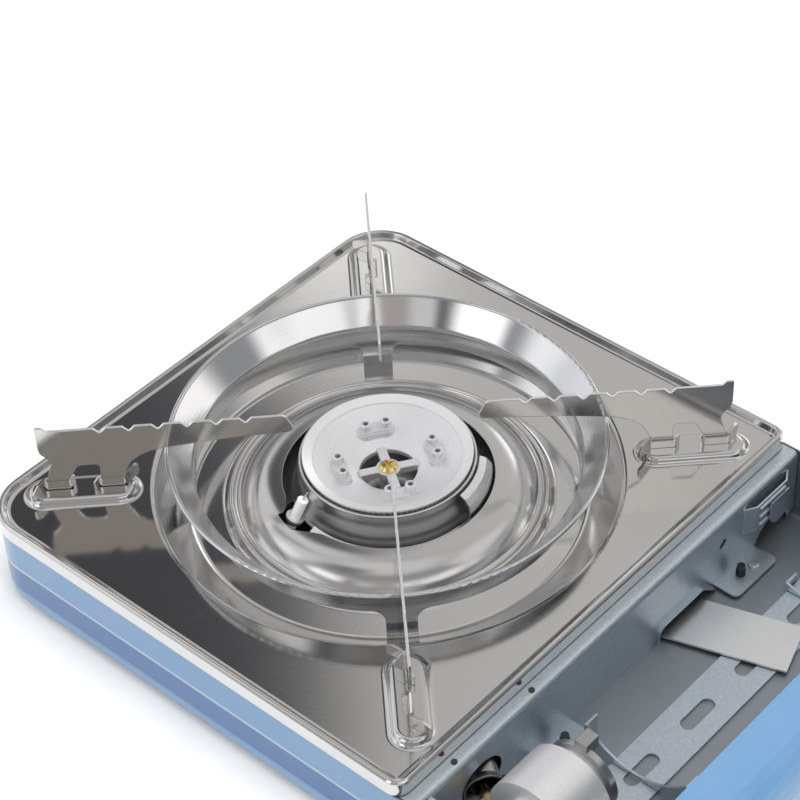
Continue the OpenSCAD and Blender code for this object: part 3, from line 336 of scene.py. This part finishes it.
sheetSet = {
    "waveDepth": 0.004, "ringDepth": 0.00005, "scratchDepth": 0.00001, "roundSamples": 6,
    "scratchRuns": ((0.5, (900, 26, 60)), (-0.9, (40, 1100, 60))),  # direction and stretch
    "scratchStops": [(0.64, 0.0), (0.78, 1.0)],
    "ringStretch": (1500.0, 1.2, 1500.0),  # along the radius, the bearing and the height
    "cloudScale": 22.0, "cloudStops": [(0.35, 0.2), (0.7, 1.0)],
}


# slow waves of rolled sheet, scratches, lines turned round a centre, and a dulling mask
def pressedSheetGroup():
    inputs = {"Wave": 0.3, "Scratch": 0.25, "Turned": 0.0, "Wave Scale": 16.0, "Rounding": 0.0005,
              "Centre X": 0.0, "Centre Y": 0.0, "Dome": 0.0, "Dome Inner": 0.05, "Dome Outer": 0.07}
    outputs = {"Normal": "NodeSocketVector", "Dull": "NodeSocketFloat"}
    group, start, end = newGroup("pressedSheet", inputs, outputs)
    coords = group.nodes.new("ShaderNodeTexCoord").outputs["Object"]
    wave = addNode(group, "ShaderNodeTexNoise", Detail=1.0, Roughness=0.4)
    group.links.new(coords, wave.inputs["Vector"])
    group.links.new(start.outputs["Wave Scale"], wave.inputs["Scale"])
    fine = []
    for spin, stretch in sheetSet["scratchRuns"]:
        turned = addNode(group, "ShaderNodeMapping")
        turned.inputs["Rotation"].default_value = (0, 0, spin)
        turned.inputs["Scale"].default_value = stretch
        group.links.new(coords, turned.inputs["Vector"])
        noise = addNode(group, "ShaderNodeTexNoise", Scale=1.0, Detail=2.0, Roughness=0.6)
        group.links.new(turned.outputs["Vector"], noise.inputs["Vector"])
        fine.append(ramp(group, noise.outputs["Fac"], sheetSet["scratchStops"]))
    lines = mathNode(group, "MAXIMUM", fine[0], fine[1])
    cloud = addNode(group, "ShaderNodeTexNoise", Scale=sheetSet["cloudScale"], Detail=3.0)
    group.links.new(coords, cloud.inputs["Vector"])
    radius, sideX, sideY, height = axisDistance(group, coords, start)
    bearing = mathNode(group, "ARCTAN2", sideY, sideX)
    join = group.nodes.new("ShaderNodeCombineXYZ")
    for slot, value in enumerate((radius, bearing, height)):
        scaled = mathNode(group, "MULTIPLY", value, sheetSet["ringStretch"][slot])
        group.links.new(scaled, join.inputs[slot])
    rings = addNode(group, "ShaderNodeTexNoise", Scale=1.0, Detail=3.0, Roughness=0.6)
    group.links.new(join.outputs[0], rings.inputs["Vector"])
    spun = mathNode(group, "MULTIPLY", start.outputs["Turned"], rings.outputs["Fac"])
    dull = mathNode(group, "MULTIPLY", mathNode(group, "MAXIMUM", lines, spun),
                    ramp(group, cloud.outputs["Fac"], sheetSet["cloudStops"]))
    # the rounding eases the facets of the pressed curves
    rounded = addNode(group, "ShaderNodeBevel", samples=sheetSet["roundSamples"])
    group.links.new(start.outputs["Rounding"], rounded.inputs["Radius"])
    even = domeNormal(group, start, rounded.outputs["Normal"], radius, sideX, sideY)
    low = addNode(group, "ShaderNodeBump", Distance=sheetSet["waveDepth"])
    group.links.new(even, low.inputs["Normal"])
    group.links.new(start.outputs["Wave"], low.inputs["Strength"])
    group.links.new(wave.outputs["Fac"], low.inputs["Height"])
    turnedBump = addNode(group, "ShaderNodeBump", Distance=sheetSet["ringDepth"])
    group.links.new(start.outputs["Turned"], turnedBump.inputs["Strength"])
    group.links.new(rings.outputs["Fac"], turnedBump.inputs["Height"])
    group.links.new(low.outputs["Normal"], turnedBump.inputs["Normal"])
    high = addNode(group, "ShaderNodeBump", Distance=sheetSet["scratchDepth"])
    group.links.new(start.outputs["Scratch"], high.inputs["Strength"])
    group.links.new(lines, high.inputs["Height"])
    group.links.new(turnedBump.outputs["Normal"], high.inputs["Normal"])
    group.links.new(high.outputs["Normal"], end.inputs["Normal"])
    group.links.new(dull, end.inputs["Dull"])
    return group


bumpDepths = {"grain": 0.00006, "brush": 0.00003}  # at full strength


def grainGroup():  # cast, blasted or moulded grain
    inputs = {"Scale": 2200.0, "Depth": 0.5, "Cloud Scale": 30.0}
    outputs = {"Normal": "NodeSocketVector", "Grain": "NodeSocketFloat", "Cloud": "NodeSocketFloat"}
    group, start, end = newGroup("surfaceGrain", inputs, outputs)
    coords = group.nodes.new("ShaderNodeTexCoord").outputs["Object"]
    fine = addNode(group, "ShaderNodeTexNoise", Detail=3.0, Roughness=0.65)
    group.links.new(coords, fine.inputs["Vector"])
    group.links.new(start.outputs["Scale"], fine.inputs["Scale"])
    cloud = addNode(group, "ShaderNodeTexNoise", Detail=3.0)
    group.links.new(coords, cloud.inputs["Vector"])
    group.links.new(start.outputs["Cloud Scale"], cloud.inputs["Scale"])
    bump = addNode(group, "ShaderNodeBump", Distance=bumpDepths["grain"])
    group.links.new(start.outputs["Depth"], bump.inputs["Strength"])
    group.links.new(fine.outputs["Fac"], bump.inputs["Height"])
    group.links.new(bump.outputs["Normal"], end.inputs["Normal"])
    group.links.new(fine.outputs["Fac"], end.inputs["Grain"])
    group.links.new(cloud.outputs["Fac"], end.inputs["Cloud"])
    return group


def brushGroup():  # straight brush lines; the stretch sets their direction
    inputs = {"Along X": 20.0, "Along Y": 1600.0, "Along Z": 1600.0, "Depth": 0.3}
    outputs = {"Normal": "NodeSocketVector", "Lines": "NodeSocketFloat"}
    group, start, end = newGroup("brushLines", inputs, outputs)
    coords = group.nodes.new("ShaderNodeTexCoord").outputs["Object"]
    join = group.nodes.new("ShaderNodeCombineXYZ")
    for slot, label in enumerate(("Along X", "Along Y", "Along Z")):
        group.links.new(start.outputs[label], join.inputs[slot])
    scaled = addNode(group, "ShaderNodeVectorMath", operation="MULTIPLY")
    group.links.new(coords, scaled.inputs[0])
    group.links.new(join.outputs[0], scaled.inputs[1])
    noise = addNode(group, "ShaderNodeTexNoise", Scale=1.0, Detail=4.0, Roughness=0.7)
    group.links.new(scaled.outputs[0], noise.inputs["Vector"])
    bump = addNode(group, "ShaderNodeBump", Distance=bumpDepths["brush"])
    group.links.new(start.outputs["Depth"], bump.inputs["Strength"])
    group.links.new(noise.outputs["Fac"], bump.inputs["Height"])
    group.links.new(bump.outputs["Normal"], end.inputs["Normal"])
    group.links.new(noise.outputs["Fac"], end.inputs["Lines"])
    return group


wearSet = {"gain": 9.0, "stops": [(0.42, 0.0), (0.62, 1.0)], "samples": 4}


def wearGroup():  # mask on outer edges, broken up by noise
    inputs = {"Radius": 0.0006, "Break Up": 180.0}
    group, start, end = newGroup("edgeWear", inputs, {"Wear": "NodeSocketFloat"})
    soft = addNode(group, "ShaderNodeBevel", samples=wearSet["samples"])
    group.links.new(start.outputs["Radius"], soft.inputs["Radius"])
    flat = group.nodes.new("ShaderNodeNewGeometry")
    dot = addNode(group, "ShaderNodeVectorMath", operation="DOT_PRODUCT")
    group.links.new(soft.outputs[0], dot.inputs[0])
    group.links.new(flat.outputs["Normal"], dot.inputs[1])
    bent = mathNode(group, "SUBTRACT", 1.0, dot.outputs["Value"])
    edge = mathNode(group, "MULTIPLY", bent, wearSet["gain"], clamp=True)
    coords = group.nodes.new("ShaderNodeTexCoord").outputs["Object"]
    noise = addNode(group, "ShaderNodeTexNoise", Detail=3.0)
    group.links.new(coords, noise.inputs["Vector"])
    group.links.new(start.outputs["Break Up"], noise.inputs["Scale"])
    worn = mathNode(group, "MULTIPLY", edge, ramp(group, noise.outputs["Fac"], wearSet["stops"]))
    group.links.new(worn, end.inputs["Wear"])
    return group


roundField = roundFieldGroup()
pressedSheet = pressedSheetGroup()
surfaceGrain = grainGroup()
brushLines = brushGroup()
edgeWear = wearGroup()
print("surface effects built")


# materials

steelSets = {  # spun: roughness added inside the bead, dome: its radii, edgeHighlightAbove: height of the sheared edges, which are rougher and carry a painted highlight
    "mirrorPlate": {"tone": (0.63, 0.625, 0.615), "dull": (0.55, 0.545, 0.54), "rough": (0.10, 0.20),
        "wave": 0.03, "scratch": 0.12, "turned": 0.22, "spun": 0.07, "dome": (0.0480, 0.0685)},
    "spunGuard": {"tone": (0.66, 0.665, 0.675), "dull": (0.58, 0.58, 0.58), "rough": (0.09, 0.20),
        "wave": 0.10, "scratch": 0.15, "turned": 0.35},
    "bladeSteel": {"tone": (0.60, 0.585, 0.565), "dull": (0.52, 0.51, 0.50), "rough": (0.13, 0.24),
        "wave": 0.04, "scratch": 0.25, "turned": 0.0, "edgeHighlightAbove": 0.062},
    "cupSteel": {"tone": (0.76, 0.76, 0.765), "dull": (0.64, 0.64, 0.645), "rough": (0.36, 0.50),
        "wave": 0.0, "scratch": 0.3, "turned": 0.2},
    "plainSteel": {"tone": (0.50, 0.50, 0.50), "dull": (0.40, 0.40, 0.40), "rough": (0.28, 0.38),
        "wave": 0.0, "scratch": 0.3, "turned": 0.0},
    "blackened": {"tone": (0.10, 0.10, 0.11), "dull": (0.055, 0.055, 0.06), "rough": (0.28, 0.42),
        "wave": 0.0, "scratch": 0.4, "turned": 0.0},
}
# sheared edges: their rougher finish is real, their near-white tone is a painted highlight
shearedEdgeHighlight = {"tone": (0.93, 0.93, 0.94), "rough": 0.40, "facingUp": 0.4}


def shearedEdgeHighlightMask(tree, lowest):  # 1 on faces that look up or down above that height: the sheared edges that get the painted highlight
    coords = tree.nodes.new("ShaderNodeTexCoord")
    place = tree.nodes.new("ShaderNodeSeparateXYZ")
    facing = tree.nodes.new("ShaderNodeSeparateXYZ")
    tree.links.new(coords.outputs["Object"], place.inputs[0])
    tree.links.new(coords.outputs["Normal"], facing.inputs[0])
    upright = mathNode(tree, "ABSOLUTE", facing.outputs["Z"])
    level = mathNode(tree, "GREATER_THAN", upright, shearedEdgeHighlight["facingUp"])
    return mathNode(tree, "MULTIPLY", level, mathNode(tree, "GREATER_THAN", place.outputs["Z"], lowest))


def steelMaterial(name):
    values = steelSets[name]
    material, tree, shader = newMaterial(name)
    sheet = useGroup(tree, pressedSheet, Wave=values["wave"], Scratch=values["scratch"],
                     Turned=values["turned"], Centre_X=burnerX, Centre_Y=burnerY)
    if "dome" in values:
        for label, value in zip(("Dome", "Dome Inner", "Dome Outer"), (1.0, *values["dome"])):
            sheet.inputs[label].default_value = value
    tone = mixColour(tree, sheet.outputs["Dull"], values["tone"], values["dull"])
    low, high = values["rough"]
    rough = mathNode(tree, "MULTIPLY_ADD", sheet.outputs["Dull"], high - low, low)
    if "spun" in values:
        field = useGroup(tree, roundField, Centre_X=burnerX, Centre_Y=burnerY, Radius=fieldRadius)
        rough = mathNode(tree, "MULTIPLY_ADD", field.outputs["Field"], values["spun"], rough)
    if "edgeHighlightAbove" in values:
        # painted highlight on the sheared edges: tone mixed toward near white, and roughness raised for the
        # sheared finish
        edgeHighlight = shearedEdgeHighlightMask(tree, values["edgeHighlightAbove"])
        tone = mixColour(tree, edgeHighlight, tone, shearedEdgeHighlight["tone"])
        cutRough = mathNode(tree, "MULTIPLY", edgeHighlight, shearedEdgeHighlight["rough"])
        rough = mathNode(tree, "MAXIMUM", rough, cutRough)
    tree.links.new(tone, shader.inputs["Base Color"])
    tree.links.new(rough, shader.inputs["Roughness"])
    tree.links.new(sheet.outputs["Normal"], shader.inputs["Normal"])
    shader.inputs["Metallic"].default_value = 1.0
    return material


brushedSets = {
    "heatPanelMetal": {"tone": (0.80, 0.81, 0.825), "pale": (0.92, 0.925, 0.935), "rough": (0.28, 0.42),
        "metal": 1.0, "stretch": (900.0, 900.0, 40.0), "depth": 0.3},
}


def brushedMaterial(name):
    values = brushedSets[name]
    material, tree, shader = newMaterial(name)
    x, y, z = values["stretch"]
    lines = useGroup(tree, brushLines, Along_X=x, Along_Y=y, Along_Z=z, Depth=values["depth"])
    tone = mixColour(tree, lines.outputs["Lines"], values["tone"], values["pale"])
    tree.links.new(tone, shader.inputs["Base Color"])
    low, high = values["rough"]
    rough = mathNode(tree, "MULTIPLY_ADD", lines.outputs["Lines"], high - low, low)
    tree.links.new(rough, shader.inputs["Roughness"])
    tree.links.new(lines.outputs["Normal"], shader.inputs["Normal"])
    shader.inputs["Metallic"].default_value = values["metal"]
    return material


grainSets = {
    "blastedCasting": {"tone": (0.66, 0.665, 0.68), "pale": (0.92, 0.925, 0.935), "rough": (0.34, 0.50),
        "metal": 0.8, "scale": 1500.0, "depth": 0.9},
    "burnerCasting": {"tone": (0.62, 0.625, 0.64), "pale": (0.90, 0.905, 0.915), "rough": (0.36, 0.50),
        "metal": 0.8, "scale": 1500.0, "depth": 0.9},
    "zincSheet": {"tone": (0.40, 0.465, 0.52), "pale": (0.74, 0.81, 0.87), "rough": (0.28, 0.46),
        "metal": 0.9, "scale": 900.0, "depth": 0.8},
    "printedMark": {"tone": (0.70, 0.70, 0.69), "pale": (0.84, 0.84, 0.83), "rough": (0.38, 0.55),
        "metal": 0.0, "scale": 1200.0, "depth": 0.2},
    "blackMoulding": {"tone": (0.016, 0.016, 0.018), "pale": (0.030, 0.030, 0.032), "rough": (0.36, 0.52),
        "metal": 0.0, "scale": 1900.0, "depth": 0.5},
    "footRubber": {"tone": (0.018, 0.018, 0.018), "pale": (0.035, 0.034, 0.033), "rough": (0.62, 0.82),
        "metal": 0.0, "scale": 1300.0, "depth": 0.6},
    "glazedCeramic": {"tone": (0.90, 0.895, 0.87), "pale": (0.96, 0.955, 0.94), "rough": (0.16, 0.26),
        "metal": 0.0, "scale": 700.0, "depth": 0.15},
    "leadJacket": {"tone": (0.30, 0.018, 0.014), "pale": (0.38, 0.03, 0.02), "rough": (0.4, 0.55),
        "metal": 0.0, "scale": 900.0, "depth": 0.2},
}


def grainMaterial(name):
    values = grainSets[name]
    material, tree, shader = newMaterial(name)
    grain = useGroup(tree, surfaceGrain, Scale=values["scale"], Depth=values["depth"])
    tone = mixColour(tree, grain.outputs["Grain"], values["tone"], values["pale"])
    tree.links.new(tone, shader.inputs["Base Color"])
    low, high = values["rough"]
    rough = mathNode(tree, "MULTIPLY_ADD", grain.outputs["Cloud"], high - low, low)
    tree.links.new(rough, shader.inputs["Roughness"])
    tree.links.new(grain.outputs["Normal"], shader.inputs["Normal"])
    shader.inputs["Metallic"].default_value = values["metal"]
    return material


rimSet = {"inner": 0.0348, "soft": 0.0008, "tone": (0.82, 0.825, 0.83), "rough": 0.33, "depth": 0.1}


def machinedRim():  # the casting's outer ring is turned smooth, its middle keeps the grain
    material = grainMaterial("burnerCasting")
    tree = material.node_tree
    shader = tree.nodes["Principled BSDF"]
    grain = next(node for node in tree.nodes if node.type == "GROUP" and node.node_tree == surfaceGrain)
    middle = useGroup(tree, roundField, Centre_X=burnerX, Centre_Y=burnerY, Radius=rimSet["inner"],
                      Soft=rimSet["soft"])
    field = middle.outputs["Field"]
    added = grainSets["burnerCasting"]["depth"] - rimSet["depth"]
    tree.links.new(mathNode(tree, "MULTIPLY_ADD", field, added, rimSet["depth"]), grain.inputs["Depth"])
    tone = shader.inputs["Base Color"].links[0].from_socket
    tree.links.new(mixColour(tree, field, rimSet["tone"], tone), shader.inputs["Base Color"])
    rough = shader.inputs["Roughness"].links[0].from_socket
    eased = mathNode(tree, "MULTIPLY", field, mathNode(tree, "SUBTRACT", rough, rimSet["rough"]))
    tree.links.new(mathNode(tree, "ADD", eased, rimSet["rough"]), shader.inputs["Roughness"])
    return material


zincSet = {
    "stops": [(0.34, (0.82, 0.46, 0.36)), (0.5, (0.80, 0.62, 0.22)), (0.66, (0.58, 0.66, 0.32))],
    "stainScale": 420.0, "grainScale": 2600.0, "grainDepth": 0.25, "rough": 0.2,
}


def yellowZincMaterial():
    material, tree, shader = newMaterial("yellowZinc")
    coords = tree.nodes.new("ShaderNodeTexCoord").outputs["Object"]
    noise = addNode(tree, "ShaderNodeTexNoise", Scale=zincSet["stainScale"], Detail=2.0)
    tree.links.new(coords, noise.inputs["Vector"])
    tone = ramp(tree, noise.outputs["Fac"], zincSet["stops"])
    tree.links.new(tone, shader.inputs["Base Color"])
    grain = useGroup(tree, surfaceGrain, Scale=zincSet["grainScale"], Depth=zincSet["grainDepth"])
    tree.links.new(grain.outputs["Normal"], shader.inputs["Normal"])
    shader.inputs["Roughness"].default_value = zincSet["rough"]
    shader.inputs["Metallic"].default_value = 1.0
    return material


paintSet = {
    "ground": (0.075, 0.21, 0.40), "band": (0.035, 0.115, 0.29), "line": (0.34, 0.42, 0.50),
    "bandLow": 0.014, "bandHigh": 0.027, "lineHigh": 0.0285,  # heights over the table
    "fade": 0.08, "rough": 0.30, "roughSpread": 0.12, "coat": 0.5, "coatRough": 0.12,
    "grainScale": 420.0, "grainDepth": 0.35,
    "chip": (0.45, 0.47, 0.5), "chipShare": 0.35, "chipRadius": 0.0003,
    # the uncoated inside
    "bare": (0.27, 0.30, 0.33), "barePale": (0.42, 0.455, 0.49), "bareRough": 0.14, "bareMetal": 0.9,
}


def insideMask(tree, coords, hollow):  # 1 on faces that look at the middle of the hollow
    outward = addNode(tree, "ShaderNodeVectorMath", operation="SUBTRACT")
    tree.links.new(coords.outputs["Object"], outward.inputs[0])
    outward.inputs[1].default_value = hollow
    facing = addNode(tree, "ShaderNodeVectorMath", operation="DOT_PRODUCT")
    tree.links.new(coords.outputs["Normal"], facing.inputs[0])
    tree.links.new(outward.outputs[0], facing.inputs[1])
    return mathNode(tree, "LESS_THAN", facing.outputs["Value"], 0.0)


def paintMaterial(name, banded, hollow):
    material, tree, shader = newMaterial(name)
    coordsNode = tree.nodes.new("ShaderNodeTexCoord")
    coords = coordsNode.outputs["Object"]
    grain = useGroup(tree, surfaceGrain, Scale=paintSet["grainScale"], Depth=paintSet["grainDepth"])
    cloud = grain.outputs["Cloud"]
    tone = mixColour(tree, mathNode(tree, "MULTIPLY", cloud, paintSet["fade"]), paintSet["ground"], (1, 1, 1))
    if banded:
        split = tree.nodes.new("ShaderNodeSeparateXYZ")
        tree.links.new(coords, split.inputs[0])
        height = split.outputs["Z"]
        for low, high, colour in (("bandLow", "bandHigh", "band"), ("bandHigh", "lineHigh", "line")):
            above = mathNode(tree, "GREATER_THAN", height, paintSet[low])
            below = mathNode(tree, "LESS_THAN", height, paintSet[high])
            tone = mixColour(tree, mathNode(tree, "MULTIPLY", above, below), tone, paintSet[colour])
    wear = useGroup(tree, edgeWear, Radius=paintSet["chipRadius"])
    chipped = mathNode(tree, "MULTIPLY", wear.outputs["Wear"], paintSet["chipShare"])
    tone = mixColour(tree, chipped, tone, paintSet["chip"])
    inside = insideMask(tree, coordsNode, hollow)
    bare = mixColour(tree, cloud, paintSet["bare"], paintSet["barePale"])
    tree.links.new(mixColour(tree, inside, tone, bare), shader.inputs["Base Color"])
    rough = mathNode(tree, "MULTIPLY_ADD", cloud, paintSet["roughSpread"], paintSet["rough"])
    rough = mathNode(tree, "MULTIPLY_ADD", inside, paintSet["bareRough"], rough)
    coat = mathNode(tree, "MULTIPLY_ADD", inside, -paintSet["coat"], paintSet["coat"])
    metal = mathNode(tree, "MULTIPLY", inside, paintSet["bareMetal"])
    tree.links.new(rough, shader.inputs["Roughness"])
    tree.links.new(metal, shader.inputs["Metallic"])
    tree.links.new(coat, shader.inputs["Coat Weight"])
    tree.links.new(grain.outputs["Normal"], shader.inputs["Normal"])
    shader.inputs["Coat Roughness"].default_value = paintSet["coatRough"]
    return material


materials = {name: steelMaterial(name) for name in steelSets}
materials.update({name: brushedMaterial(name) for name in brushedSets})
materials.update({name: grainMaterial(name) for name in grainSets if name != "burnerCasting"})
materials["yellowZinc"] = yellowZincMaterial()
materials["burnerCasting"] = machinedRim()


lidMiddle, caseMiddle = (sum(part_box(name), Vector()) / 2 for name in ("lid", "body_pan"))
caseMiddle.z = deckZ + 0.010  # over the rim, so that the whole floor and wall look at it
materials["blueEnamel"] = paintMaterial("blueEnamel", False, lidMiddle)
materials["bandedEnamel"] = paintMaterial("bandedEnamel", True, caseMiddle)

partFinish = {
    "top_plate": "mirrorPlate", "wind_guard": "spunGuard", "pan_support_rear_right": "bladeSteel",
    "pan_support_rear_left": "bladeSteel", "pan_support_front_left": "bladeSteel",
    "pan_support_front_right": "bladeSteel", "burner_cup": "cupSteel", "burner_head": "burnerCasting",
    "burner_base": "blastedCasting", "regulator_body": "blastedCasting", "burner_screw": "yellowZinc",
    "gas_jet": "yellowZinc", "heat_panel": "heatPanelMetal", "bay_wall": "zincSheet", "bay_clip": "zincSheet",
    "cartridge_saddle": "zincSheet", "cartridge_carriage": "zincSheet", "lever_guide": "zincSheet",
    "burner_bracket": "zincSheet", "case_screws": "blackened", "electrode_insulator": "glazedCeramic",
    "igniter_lead": "leadJacket", "body_pan": "bandedEnamel", "lid": "blueEnamel", "knob": "blackMoulding",
    "knob_plate": "blackMoulding", "lock_lever": "blackMoulding", "piezo_igniter": "blackMoulding",
    "rubber_feet": "footRubber", "lid_buffers": "footRubber", "valve_seal": "footRubber",
}  # every other part is plain steel

for name, part in parts.items():
    finish = materials[partFinish.get(name, "plainSteel")]
    part.data.materials.clear()
    part.data.materials.append(finish)
print("materials placed on", len(parts), "parts")


# threads, skirt of the cup and marks

def addPiece(name, corners, faces, material, body):
    mesh = bpy.data.meshes.new(name)
    mesh.from_pydata(corners, [], faces)
    mesh.update()
    mesh.materials.append(materials[material])
    piece = bpy.data.objects.new(name, mesh)
    scene.collection.objects.link(piece)
    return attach(piece, body)


def solidBoxes(name):  # the corners of each separate solid of a part
    shape = bmesh.new()
    shape.from_mesh(parts[name].data)
    bmesh.ops.remove_doubles(shape, verts=shape.verts, dist=1e-6)
    waiting, boxes = set(shape.verts), []
    while waiting:
        reached, places = [waiting.pop()], []
        while reached:
            corner = reached.pop()
            places.append(corner.co.copy())
            linked = {edge.other_vert(corner) for edge in corner.link_edges} & waiting
            waiting -= linked
            reached.extend(linked)
        boxes.append([Vector(pick(place[axis] for place in places) for axis in range(3))
                      for pick in (min, max)])
    shape.free()
    return sorted(boxes, key=lambda box: tuple(round(value, 4) for value in box[0]))


threadSet = {
    "pitch": 0.0009, "inner": 0.0018, "outer": 0.0023, "runOut": 0.00182, "flank": 0.42, "sides": 20,
    "ends": 0.0006, "overFloor": 0.001, "below": 0.005,  # below: the screws that start under this height
}


def makeThread(name, axis, low, high):  # a ridge wound up the shank, running out at both ends
    pitch, sides = threadSet["pitch"], threadSet["sides"]
    inner, runOut, flank = threadSet["inner"], threadSet["runOut"], threadSet["flank"]
    steps = int(sides * (high - low - pitch) / pitch)
    corners, faces = [], []
    for step in range(steps + 1):
        angle = 2 * math.pi * step / sides
        height = low + pitch * (0.5 + step / sides)
        grown = min(1.0, step / sides, (steps - step) / sides)
        crest = runOut + grown * (threadSet["outer"] - inner)
        for radius, lift in ((inner, -flank), (crest, 0.0), (inner, flank)):
            corners.append((axis.x + radius * math.cos(angle), axis.y + radius * math.sin(angle),
                            height + lift * pitch))
        if step:
            first = 3 * step - 3
            faces += [(first + b, first + a, first + a + 3, first + b + 3)
                      for a, b in ((0, 1), (1, 2), (2, 0))]
    last = 3 * steps
    faces += [(0, 1, 2), (last + 2, last + 1, last)]
    return addPiece(name, corners, faces, "blackened", "stove")


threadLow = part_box("body_pan")[0].z + threadSet["overFloor"]
raisedScrews = [box for box in solidBoxes("case_screws") if box[0].z < threadSet["below"]]
for count, (low, high) in enumerate(raisedScrews):
    makeThread("screw_thread_%d" % count, (low + high) / 2, threadLow, high.z - threadSet["ends"])


skirtSet = {
    "profile": ((0.0438, -0.0051), (0.0452, -0.0062), (0.0472, -0.0074), (0.0496, -0.0082),
                (0.0520, -0.0086)),  # radius, and height over the plate
    "inward": 0.00024, "down": 0.0004,  # from the upper face to the under face
    "arcs": ((47, 236), (-98, -4)), "step": 3,  # degrees, left open for the panel and the electrode
}


def makeSkirt(name, start, stop):  # the cup's flare goes on under the plate's opening
    outer = list(skirtSet["profile"])
    inner = [(radius - skirtSet["inward"], height - skirtSet["down"]) for radius, height in reversed(outer)]
    loop = outer + inner
    count, steps = len(loop), round((stop - start) / skirtSet["step"])
    corners, faces = [], []
    for step in range(steps + 1):
        angle = math.radians(start + (stop - start) * step / steps)
        corners += [(burnerX + radius * math.cos(angle), burnerY + radius * math.sin(angle), deckZ + height)
                    for radius, height in loop]
        if step:
            first = count * (step - 1)
            for k in range(count):
                after = (k + 1) % count
                faces.append((first + k, first + after, first + count + after, first + count + k))
    faces += [tuple(reversed(range(count))), tuple(range(count * steps, count * (steps + 1)))]
    return addPiece(name, corners, faces, "cupSteel", "stove")


for count, (start, stop) in enumerate(skirtSet["arcs"]):
    makeSkirt("burner_cup_skirt_%d" % count, start, stop)


markSet = {
    "inner": 0.0190, "thin": 0.0002, "grow": 0.0013, "steps": 26,
    "from": 14, "to": 64,  # degrees round the knob
    "dot": 0.0008, "dotSides": 24, "proud": 0.00015, "sunk": 0.0001,
}


def raisedMark(name, outline, front, body):  # an outline in x and z that stands proud of a front face
    count = len(outline)
    corners = [(x, front - markSet["proud"], z) for x, z in outline]
    corners += [(x, front + markSet["sunk"], z) for x, z in outline]
    faces = [tuple(range(count)), tuple(reversed(range(count, 2 * count)))]
    faces += [(k, count + k, count + (k + 1) % count, (k + 1) % count) for k in range(count)]
    return addPiece(name, corners, faces, "printedMark", body)


knobLow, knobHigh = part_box("knob")
knobX, knobZ = (knobLow.x + knobHigh.x) / 2, (knobLow.z + knobHigh.z) / 2


def aroundKnob(radius, degrees):
    angle = math.radians(degrees)
    return (knobX + radius * math.cos(angle), knobZ + radius * math.sin(angle))


def makeFlameScale():  # a wedge that widens with the flame, and a dot at the closed position
    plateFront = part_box("knob_plate")[0].y
    inner, grow, steps = markSet["inner"], markSet["grow"], markSet["steps"]
    span = markSet["to"] - markSet["from"]
    sweep = [markSet["from"] + span * k / steps for k in range(steps + 1)]
    outline = [aroundKnob(inner + markSet["thin"] + grow * k / steps, degrees)
               for k, degrees in enumerate(sweep)]
    outline += [aroundKnob(inner, degrees) for degrees in reversed(sweep)]
    raisedMark("knob_scale_wedge", outline, plateFront, "stove")
    middleX, middleZ = aroundKnob(inner + grow / 2, 0)
    turns = [2 * math.pi * k / markSet["dotSides"] for k in range(markSet["dotSides"])]
    ring = [(middleX + markSet["dot"] * math.cos(turn), middleZ + markSet["dot"] * math.sin(turn))
            for turn in turns]
    raisedMark("knob_scale_dot", ring, plateFront, "stove")


makeFlameScale()
print("threads, skirt and marks made")

print("ready")
